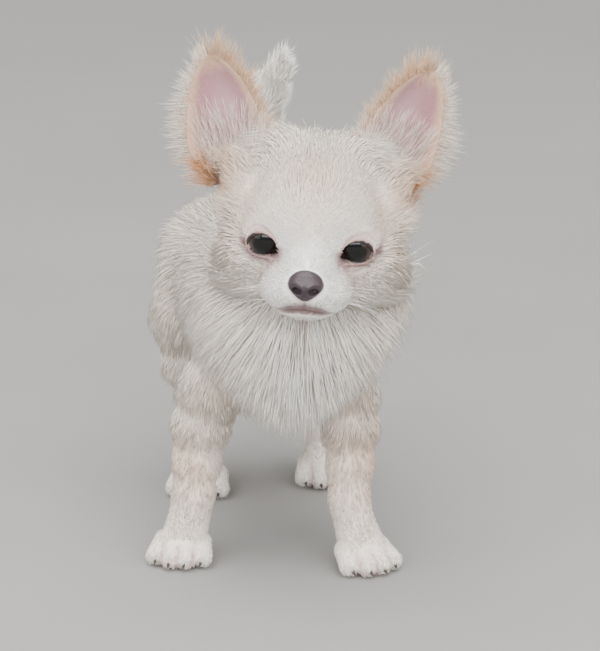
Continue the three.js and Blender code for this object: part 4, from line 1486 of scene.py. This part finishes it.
@dataclass
class Ear:
    """One ear: a leaf folded into a cup."""

    node: str
    base: Point
    tip: Point
    open_to: Point
    outer: int
    length: float = 50.0
    width: float = 35.0
    thick: float = 1.5
    cup: float = 8.0
    hem: float = -0.14
    cuts: int = 40
    pink: Point = (0.37, 0.19, 0.205)
    # the paler pink of the painted highlight in the ear's cup
    pale: Point = (0.56, 0.37, 0.39)
    back_tufts: int = 2600
    fringe_tufts: int = 2600
    cup_tufts: int = 620
    inner_lock_tufts: int = 300
    tip_tufts: int = 110
    root_tufts: int = 700
    edge_tufts: int = 3200

    def frame(self) -> tuple[np.ndarray, ...]:
        """Find the ear's own frame.

        Returns:
            Its root and its directions along, out of the cup and across.
        """
        base = np.array(self.base, float)
        along = unit(np.array(self.tip, float) - base)
        facing = np.array(self.open_to, float)
        facing = unit(facing - along * (facing @ along))
        return base, along, facing, np.cross(along, facing)

    def half(self, t: np.ndarray) -> np.ndarray:
        """Find the ear's half width.

        Args:
            t: Shares of its length.

        Returns:
            Half the width at each.
        """
        up = np.maximum(t, 0.0)
        root = 0.6 + 0.4 * ramp(t, -0.14, 0.26)
        return self.width * 0.5 * root * np.maximum(1 - up ** 2.5, 0.0) ** 0.68

    def point(self, s: np.ndarray, t: np.ndarray, depth: np.ndarray) -> np.ndarray:
        """Place points on the ear.

        Args:
            s: Shares of the half width, across.
            t: Shares of the length, along.
            depth: Depths out of the cup, in millimetres.

        Returns:
            The places in the body's frame.
        """
        base, along, facing, across = self.frame()
        cup = self.cup * (1 - 0.72 * t) * (1 - s * s) + 1.2 * np.sin(math.pi * t)
        fold = 0.5 * np.sin(7.0 * t + 3.0 * s) * (1 - s * s)
        return (base + along * (self.length * t)[:, None] + across * (s * self.half(t))[:, None]
                + facing * (depth - cup + fold)[:, None])

    def build(self, stand: Stand, material: bpy.types.Material, palette: Palette) -> bpy.types.Object:
        """Make the ear's skin from a subdivided cube, bent into the cup.

        Args:
            stand: The frame to place it in.
            material: Its material.
            palette: The coat's tones.

        Returns:
            The ear.
        """
        bpy.ops.object.select_all(action="DESELECT")
        bpy.ops.mesh.primitive_cube_add(size=2)
        ear = bpy.context.active_object
        ear.name = f"{self.node}_skin"
        bpy.ops.object.mode_set(mode="EDIT")
        bpy.ops.mesh.subdivide(number_cuts=self.cuts)
        bpy.ops.object.mode_set(mode="OBJECT")
        s, t, layer = read_points(ear).T
        t = self.hem + 1.125 * (t + 1) / 2
        rim = np.sqrt(np.maximum(1 - 0.85 * s * s, 0.0))
        depth = layer * self.thick * 0.5 * rim * (1 - 0.35 * np.maximum(t, 0))
        points = self.point(s, np.minimum(t, 0.995), depth)
        write_points(ear, stand.place(points))
        smooth_shade(ear)
        inside = ramp(layer, -0.2, 0.4)
        edge = ramp(np.abs(s), 0.62, 0.95) + ramp(t, 0.8, 0.97)
        pink, pale = np.array(self.pink), np.array(self.pale)
        # painted highlight: a paler patch in the middle of the cup
        painted_highlight = np.exp(-((s + 0.2 * self.outer) / 0.45) ** 2 - ((t - 0.45) / 0.3) ** 2)
        colour = pink + (pale - pink) * (0.6 * painted_highlight)[:, None]
        tan = np.array(palette.tan) * 0.75 + np.array(palette.cream) * 0.25
        mask = np.clip(np.maximum(edge * 0.7, 1 - inside), 0, 1)[:, None]
        add_colours(ear, colour * (1 - mask) + tan * mask)
        dress(ear, material)
        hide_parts(self.node)
        return ear

    def hair(self, random: np.random.Generator, palette: Palette) -> Strands:
        """Lay the ear's hair: short fur on its back, a fringe on its edges, long hair in the cup.

        Args:
            random: The generator to draw from.
            palette: The coat's tones.

        Returns:
            The tufts.
        """
        _, along, facing, across = self.frame()
        rows: list[tuple[np.ndarray, ...]] = []

        def add(s: np.ndarray, t: np.ndarray, back: bool, flow: np.ndarray, length: np.ndarray,
                width: float, rise: float, colour: np.ndarray) -> None:
            """Add a batch of tufts on the back or in the cup."""
            n = len(s)
            depth = np.full(n, -self.thick * 0.45 if back else self.thick * 0.4)
            root = self.point(s, t, depth)
            side = np.tile(facing * (-1 if back else 1), (n, 1))
            flow = unit(flow + random.normal(0, 0.16, (n, 3)))
            rows.append((root, side, flow, length, np.full(n, width) * random.uniform(0.7, 1.3, n),
                         length * rise, np.broadcast_to(colour, (n, 3))))

        tones = (palette.cream, palette.tan, palette.rust, palette.white)
        cream, tan, rust, white = (np.array(tone) for tone in tones)
        n = self.back_tufts
        s, t = random.uniform(-1, 1, n), random.uniform(-0.1, 0.97, n)
        flow = along + across * (s * 0.35)[:, None]
        tone = cream * 0.55 + tan * 0.45
        add(s, t, True, flow, random.uniform(4, 7.5, n) * (1 - 0.3 * t), 0.42, 0.16, tone)
        n = self.fringe_tufts
        edge = random.choice([-1.0, 1.0], n)
        t = random.uniform(self.hem, 0.99, n)
        outer = edge == self.outer
        tipward = ramp(t, 0.55, 1.0)
        lean = np.where(outer, 0.15, 0.8) * (1 - tipward) + 1.25 * tipward
        flow = (across * (edge * (1 - 0.6 * tipward))[:, None] + along * lean[:, None]
                + facing * random.uniform(-0.45, 0.15, n)[:, None])
        fade = 1.15 - 0.5 * ramp(t, 0.45, 0.9)
        length = (4.5 + 12 * random.random(n) ** 2.4) * np.where(outer, fade, 0.8 + 0.3 * tipward)
        low = ramp(0.3 - t, 0, 0.3)[:, None] * outer[:, None]
        inner_tan = (~outer * ramp(t, 0.15, 0.5))[:, None]
        tone = cream + (tan - cream) * (0.35 + 0.5 * inner_tan) * (1 - 0.5 * low)
        tone = tone + (rust - tone) * 0.75 * low
        tone = tone + (white - tone) * random.uniform(0, 0.5, (n, 1)) * outer[:, None]
        add(edge * random.uniform(0.84, 0.99, n), t, False, flow, length, 0.2, 0.05, tone)
        n = self.cup_tufts
        inward = self.outer * random.uniform(-1.0, 0.75, n)
        t = random.uniform(-0.12, 0.42, n)
        flow = along + across * (-self.outer * 0.1 + 0.25 * inward)[:, None] + facing * 0.35
        length = random.uniform(9, 21, n) * (1 - 0.45 * np.maximum(t, 0))
        add(inward, t, False, flow, length, 0.16, 0.22, white * 0.7 + tan * 0.3)
        n = self.inner_lock_tufts
        flow = along * 1.1 - across * (self.outer * random.uniform(0.2, 0.9, n))[:, None] + facing * 0.1
        add(-self.outer * random.uniform(0.6, 1.0, n), random.uniform(self.hem, 0.16, n), False, flow,
            random.uniform(8, 15, n), 0.22, 0.12, white * 0.8 + tan * 0.2)
        n = self.tip_tufts
        flow = along + across * random.uniform(-0.5, 0.5, n)[:, None] + facing * -0.1
        add(random.uniform(-0.9, 0.9, n), random.uniform(0.9, 0.98, n), False, flow,
            random.uniform(8, 17, n), 0.17, 0.02, tan * 0.6 + cream * 0.3)
        n = self.root_tufts
        s, t = random.uniform(-1.0, 1.0, n), random.uniform(self.hem, 0.1, n)
        flow = along * 0.75 + across * (s * 0.6)[:, None] + facing * 0.5
        outward = ramp(s * self.outer, 0.1, 0.8)[:, None]
        tone = cream * (1 - outward) + (rust * 0.7 + tan * 0.3) * outward
        add(s, t, False, flow, random.uniform(6, 12, n), 0.26, 0.35, tone)
        n = self.edge_tufts
        s, t = random.uniform(-0.97, 0.97, n), random.uniform(0.0, 0.97, n)
        rim = np.abs(s) ** 2.2 + t ** 4 > random.uniform(0.3, 0.9, n)
        s, t = s[rim], t[rim]
        flow = along * 0.8 + across * (s * 0.7)[:, None]
        add(s, t, False, flow, random.uniform(2.2, 4.4, len(s)), 0.26, 0.12, tan * 0.8 + cream * 0.2)
        root, side, flow, length, width, rise, colour = (np.concatenate(column) for column in zip(*rows))
        across_share = np.clip(((root - np.array(self.base)) @ across) / 60 + 0.5, 0, 1)
        along_share = np.clip(((root - np.array(self.base)) @ along) / 90 + 0.3, 0, 1)
        window = 0.02 if self.outer < 0 else 0.17
        patches = np.stack([window + 0.12 * across_share, 0.42 + 0.12 * along_share], axis=1)
        return Strands(root, side, unit(flow), length, width, rise, colour, patches, 0.02 * length,
                       clump=0.35, waves=0.8)


EARS = (
    Ear("ear_right", (-18.5, -3, 186), (-26.5, 1, 232), (-0.2, -1, 0.1), -1),
    Ear("ear_left", (48, -3, 182), (68, 1, 229), (0.32, -1, 0.1), 1),
)


def side_name(side: int) -> str:
    """Name the dog's own side."""
    return "left" if side > 0 else "right"


@dataclass
class Face:
    """Eyes, lid rims and nose."""

    stand: Stand
    cornea: float = 0.035
    gaze_share: float = 0.55
    rim_steps: int = 72
    rim_sides: int = 10
    rim_lift: float = 0.35
    rim_size: float = 0.42
    nostril_depth: float = 3.6
    slit_depth: float = 1.3
    wing_swell: float = 0.55
    groove_depth: float = 0.7

    def eye(self, side: int, material: bpy.types.Material) -> bpy.types.Object:
        """Make one eyeball with a raised cornea.

        Args:
            side: -1 for the dog's right, 1 for its left.
            material: Its material.

        Returns:
            The eyeball.
        """
        bpy.ops.object.select_all(action="DESELECT")
        bpy.ops.mesh.primitive_uv_sphere_add(segments=64, ring_count=40, radius=EYE_RADIUS * MM,
                                             location=tuple(self.stand.place(EYES[side])))
        ball = bpy.context.active_object
        ball.name = f"eyeball_{side_name(side)}"
        bpy.ops.object.transform_apply(location=True, rotation=True, scale=True)
        points = self.stand.back(read_points(ball)) - EYES[side]
        towards = points @ self.gaze(side) / EYE_RADIUS
        points *= (1 + self.cornea * ramp(towards, 0.62, 0.92))[:, None]
        write_points(ball, self.stand.place(points + EYES[side]))
        smooth_shade(ball)
        dress(ball, material)
        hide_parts(f"eye_{side_name(side)}")
        return ball

    def gaze(self, side: int) -> np.ndarray:
        """Give the direction in which an eye looks."""
        turn = math.radians(EYE_TURN) * side * self.gaze_share
        return HEAD.along(np.array([[math.sin(turn), -math.cos(turn), -0.05]]))[0]

    def rim(self, side: int, material: bpy.types.Material) -> bpy.types.Object:
        """Make the dark rim of both lids as a closed tube on the eyeball.

        Args:
            side: -1 for the dog's right, 1 for its left.
            material: Its material.

        Returns:
            The rim.
        """
        steps, around = self.rim_steps, self.rim_sides
        angle = np.linspace(0, 2 * math.pi, steps, endpoint=False)
        across = EYE_WIDTH / 2 * np.cos(angle)
        upper = np.sin(angle) >= 0
        up = np.where(upper, lid_height(across, side, True), lid_height(across, side, False))
        radius = EYE_RADIUS + self.rim_lift
        out = np.sqrt(np.maximum(radius ** 2 - across ** 2 - up ** 2, 1.0))
        turn = math.radians(EYE_TURN) * side
        centre = np.stack([across * math.cos(turn) + out * math.sin(turn),
                           across * math.sin(turn) - out * math.cos(turn), up], axis=1)
        radial = unit(centre)
        along = unit(np.roll(centre, -1, axis=0) - np.roll(centre, 1, axis=0))
        outward = unit(np.cross(along, radial))
        inner_corner = ramp(-np.cos(angle) * side, 0.8, 1.0)
        size = self.rim_size + 0.2 * np.where(upper, np.sin(angle), 0.0) + 0.3 * inner_corner
        ring = np.linspace(0, 2 * math.pi, around, endpoint=False)
        tube = (centre[:, None] + radial[:, None] * (np.sin(ring)[None, :] * size[:, None])[:, :, None]
                + outward[:, None] * (np.cos(ring)[None, :] * size[:, None] * 1.25)[:, :, None])
        points = tube.reshape(-1, 3) + np.array([side * EYE_X, EYE_Y, EYE_Z])
        points = np.array(HEAD.centre) + HEAD.along(points)
        i, k = np.meshgrid(np.arange(steps), np.arange(around), indexing="ij")
        here, there = i * around, (i + 1) % steps * around
        after = (k + 1) % around
        faces = np.stack([here + k, here + after, there + after, there + k], axis=-1).reshape(-1, 4)
        rim = mesh_object(f"lid_rim_{side_name(side)}", self.stand.place(points), faces)
        select_only(rim)
        bpy.ops.object.mode_set(mode="EDIT")
        bpy.ops.mesh.select_all(action="SELECT")
        bpy.ops.mesh.normals_make_consistent(inside=False)
        bpy.ops.object.mode_set(mode="OBJECT")
        smooth_shade(rim)
        dress(rim, material)
        return rim

    def nose(self, material: bpy.types.Material) -> bpy.types.Object:
        """Make the nose pad: a rounded wedge with comma-shaped nostrils and a groove.

        Args:
            material: Its material.

        Returns:
            The nose.
        """
        bpy.ops.object.select_all(action="DESELECT")
        bpy.ops.mesh.primitive_uv_sphere_add(segments=96, ring_count=64, radius=1.0)
        nose = bpy.context.active_object
        nose.name = "nose_pad"
        q = read_points(nose)
        pad = q * np.array(NOSE_SIZE) / 2
        front = ramp(-q[:, 1], 0.1, 0.5)
        low = ramp(-q[:, 2], -0.1, 0.9)
        pad[:, 0] *= 1 - 0.30 * low
        pad[:, 1] *= 1 - 0.10 * ramp(q[:, 2], 0.3, 1.0)
        for side in (-1, 1):
            hole = np.hypot((pad[:, 0] - side * 3.3) / 2.0, (pad[:, 2] + 1.0) / 1.8)
            slit = np.hypot((pad[:, 0] - side * 5.4) / 2.1, (pad[:, 2] + 1.9) / 0.62)
            wing = np.hypot((pad[:, 0] - side * 4.3) / 3.0, (pad[:, 2] - 0.6) / 2.8)
            opening = self.nostril_depth * np.exp(-hole ** 4) + self.slit_depth * np.exp(-slit ** 2)
            pad[:, 1] += (opening - self.wing_swell * np.exp(-(wing - 0.9) ** 2 * 6)) * front
        groove = np.exp(-(pad[:, 0] / 0.55) ** 2) * ramp(-q[:, 2], -0.1, 0.3) * ramp(-q[:, 1], 0.2, 0.6)
        pad[:, 1] += self.groove_depth * groove
        pad += np.array([0, NOSE_Y, NOSE_Z])
        points = np.array(HEAD.centre) + HEAD.along(pad)
        write_points(nose, self.stand.place(points))
        smooth_shade(nose)
        dress(nose, material)
        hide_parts("nose")
        return nose


def whiskers(palette: Palette, stand: Stand, material: bpy.types.Material) -> None:
    """Add the long, thin whiskers of the muzzle and the brows.

    Args:
        palette: The coat's tones.
        stand: The frame to place them in.
        material: Their material.
    """
    random = np.random.default_rng(WHISKER_SEEDS[0])
    rows = []
    for side in (-1, 1):
        for _ in range(9):
            x, z = side * random.uniform(9, 15), random.uniform(-19, -9)
            flow = (side, 0.25 * random.uniform(0, 1), random.uniform(-0.5, 0.15))
            rows.append(((x, -44 + 0.3 * abs(x), z), flow, random.uniform(15, 26)))
        for i in range(3):
            rows.append(((side * (13 + 2 * i), -30, 12), (side * 0.5, 0.2, 0.9), random.uniform(7, 10)))
    roots, flows, lengths = (np.array(column, float) for column in zip(*rows))
    roots = np.array(HEAD.centre) + HEAD.along(roots)
    count = len(roots)
    normals = unit(HEAD.along(np.tile([0.0, -1.0, 0.2], (count, 1))))
    strands = Strands(roots, normals, unit(HEAD.along(flows)), lengths, np.full(count, 0.17),
                      lengths * 0.12, np.tile(palette.white, (count, 1)), np.full((count, 2), 0.97),
                      0.14 * lengths, clump=0.0, waves=0.4)
    TuftMaker(stand, np.random.default_rng(WHISKER_SEEDS[1])).build("whiskers", strands, material)


@dataclass
class Claws:
    """The dark claws, each bent and tapered, at the front of each toe."""

    stand: Stand
    radius: float = 1.25
    length: float = 5.0
    tilt: float = 0.2
    curl: float = 0.03
    inner_reach: float = -14.4
    outer_reach: float = -10.2
    height: float = 4.0
    lowest: float = 0.6

    def build(self, material: bpy.types.Material) -> None:
        """Dress each claw's own solid with a finer one in its place."""
        for leg in LEGS:
            foot = leg.part.name.lower().replace("leg", "paw")
            for number, step in enumerate(TOES, start=1):
                self.claw(leg, foot, number, step, material)

    def claw(self, leg: Leg, foot: str, number: int, step: float, material: bpy.types.Material) -> None:
        """Make one claw from a cone that is bent down towards its tip.

        Args:
            leg: The leg that it belongs to.
            foot: The paw's name.
            number: The claw's number, from the dog's right.
            step: The toe's place across the paw, in steps from its middle.
            material: Its material.
        """
        bpy.ops.object.select_all(action="DESELECT")
        bpy.ops.mesh.primitive_cone_add(vertices=20, radius1=self.radius, radius2=0.0, depth=1.0)
        claw = bpy.context.active_object
        claw.name = f"nail_{foot}_{number}"
        bpy.ops.object.mode_set(mode="EDIT")
        bpy.ops.mesh.select_all(action="SELECT")
        bpy.ops.mesh.subdivide(number_cuts=4)
        bpy.ops.object.mode_set(mode="OBJECT")
        q = read_points(claw)
        t = q[:, 2] + 0.5
        swell = np.sqrt(np.maximum(1 - t ** 2, 0)) / np.maximum(1 - t, 0.05)
        swell = np.minimum(swell, 2.4) * 0.8
        c, s = math.cos(self.tilt), math.sin(self.tilt)
        out = t * self.length
        drop = self.curl * out ** 2
        y = drop * s - out * c
        z = q[:, 1] * swell - (out * s + drop * c)
        x = step * (TOE_STEP + 0.2) + q[:, 0] * swell * 0.8 + step * 0.1 * y
        reach = self.inner_reach if abs(step) < 1 else self.outer_reach
        local = np.stack([x, y + reach, np.maximum(z + self.height, self.lowest)], axis=1)
        points = np.array([leg.paw_point(*row) for row in local])
        write_points(claw, self.stand.place(points))
        smooth_shade(claw)
        dress(claw, material)
        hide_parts(f"claw_{foot}_{number}")


@dataclass
class Studio:
    """The floor, the light and the camera.

    Each lamp is a name, a place, a size, a power and a colour.
    """

    stand: Stand
    elevation: float = 18.0
    target: Point = (11.0, 0.0, 114.2)
    distance: float = 2000.0
    lens: float = 255.5
    aim: Point = (0, 0, 0.12)
    floor_dark: Point = (0.285, 0.28, 0.272)
    floor_pale: Point = (0.32, 0.315, 0.306)
    sky: Point = (0.93, 0.915, 0.90)
    sky_strength: float = 0.72
    lamps: tuple[tuple[str, Point, tuple[float, float], float, Point], ...] = (
        ("overhead", (-0.1, -0.4, 1.9), (2.2, 2.2), 72.0, (1.0, 0.985, 0.965)),
        ("front_sky", (0.1, -2.3, 1.25), (3.4, 1.0), 80.0, (0.985, 0.985, 1.0)),
        ("left_fill", (1.7, -0.9, 0.7), (1.4, 1.4), 12.0, (1.0, 0.975, 0.95)),
        ("right_fill", (-1.7, -0.9, 0.8), (1.4, 1.4), 12.0, (1.0, 0.975, 0.95)),
    )

    def camera(self) -> None:
        """Look at the dog from the photo's angle."""
        data = bpy.data.cameras.new("camera")
        data.lens = self.lens
        data.sensor_width = 36.0
        data.clip_start = 0.05
        data.clip_end = 50.0
        camera = bpy.data.objects.new("camera", data)
        e = math.radians(self.elevation)
        target = Vector(self.stand.place(np.array(self.target)))
        camera.location = target + Vector((0, -math.cos(e), math.sin(e))) * self.distance * MM
        camera.rotation_euler = (math.radians(90.0 - self.elevation), 0, 0)
        bpy.context.scene.collection.objects.link(camera)
        bpy.context.scene.camera = camera

    def light(self, name: str, at: Point, size: tuple[float, float], power: float,
              colour: Point) -> None:
        """Add one soft light that looks at the dog.

        Args:
            name: Its name.
            at: Its place, in metres.
            size: Its width and height, in metres.
            power: Its power, in watts.
            colour: Its colour.
        """
        data = bpy.data.lights.new(name, "AREA")
        data.shape = "RECTANGLE"
        data.size, data.size_y = size
        data.energy = power
        data.color = colour
        lamp = bpy.data.objects.new(name, data)
        lamp.location = at
        aim = Vector(self.aim) - Vector(at)
        lamp.rotation_euler = aim.to_track_quat("-Z", "Y").to_euler()
        bpy.context.scene.collection.objects.link(lamp)

    def build(self) -> None:
        """Make the floor, the lights, the sky and the camera."""
        self.camera()
        bpy.ops.object.select_all(action="DESELECT")
        bpy.ops.mesh.primitive_plane_add(size=12.0, location=(0, 0, -0.0002))
        floor = bpy.context.active_object
        floor.name = "floor"
        material, tree, shader = Finish.blank("Pale_floor")
        noise = tree.nodes.new("ShaderNodeTexNoise")
        noise.inputs["Scale"].default_value = 90.0
        shade = tree.nodes.new("ShaderNodeValToRGB")
        for stop, tone in zip(shade.color_ramp.elements, (self.floor_dark, self.floor_pale)):
            stop.color = (*tone, 1)
        tree.links.new(noise.outputs["Fac"], shade.inputs["Fac"])
        tree.links.new(shade.outputs["Color"], shader.inputs["Base Color"])
        shader.inputs["Roughness"].default_value = 0.9
        floor.data.materials.append(material)
        for lamp in self.lamps:
            self.light(*lamp)
        world = bpy.data.worlds.new("sky")
        world.use_nodes = True
        background = world.node_tree.nodes["Background"]
        background.inputs["Color"].default_value = (*self.sky, 1)
        background.inputs["Strength"].default_value = self.sky_strength
        bpy.context.scene.world = world


def main() -> None:
    """Build the dog, piece by piece."""
    logging.basicConfig(level=logging.INFO, format="%(name)s: %(message)s")
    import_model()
    stand = Stand.from_frame()
    flesh = Flesh()
    palette = Palette()
    mottle = Finish.mottle_group()
    hair = HairFinish("Hair_soft_cream", 0.65, 0.1, 0.05, 900.0).build(mottle)
    bare = HairFinish("Skin_fine_down", 0.75, 0.05, 0.08, 500.0, 0.5).build(mottle)
    ear_skin = HairFinish("Ear_thin_skin", 0.55, 0.1, 0.06, 300.0, 0.25).build(mottle)
    rim = MoistFinish("Lid_rim_dark", (0.03, 0.02, 0.022), 0.32, 900.0, 0.05).build(mottle)
    pad = MoistFinish("Nose_pebbled", (0.042, 0.028, 0.035), 0.36, 1150.0, 0.16).build(mottle)
    horn = MoistFinish("Claw_horn", (0.05, 0.036, 0.03), 0.38, 500.0, 0.04).build(mottle)

    skin = Skin(flesh, stand, palette).build(bare)
    LOG.info("skin: %d faces", len(skin.data.polygons))
    face = Face(stand)
    for side in (-1, 1):
        eye = EyeFinish(f"Eye_wet_dark_{side_name(side)}")
        face.eye(side, eye.build(face.gaze(side), stand.place(EYES[side])))
        face.rim(side, rim)
    face.nose(pad)
    LOG.info("face: eyes, rims and nose")
    maker = TuftMaker(stand, np.random.default_rng(TUFT_SEED))
    random = np.random.default_rng(EAR_SEED)
    for ear in EARS:
        ear.build(stand, ear_skin, palette)
        maker.build(f"{ear.node}_hair", ear.hair(random, palette), hair)
    LOG.info("ears: skin and hair")
    whiskers(palette, stand, hair)
    Claws(stand).build(horn)
    LOG.info("claws: %d", len(LEGS) * len(TOES))
    coat = Coat(flesh, stand, palette, np.random.default_rng(COAT_SEED))
    for name, strands in coat.grow(skin, FULL_TUFTS).items():
        strands.clump = TRUNK_CLUMP if name == "coat_trunk" else COAT_CLUMP
        if name in ("coat_head", "coat_legs"):
            strands.stations = SHORT_STATIONS
        maker.build(name, strands, hair)
    Studio(stand).build()
    LOG.info("studio: floor, %d lamps, sky and camera", len(Studio.lamps))


if __name__ == "__main__":
    main()
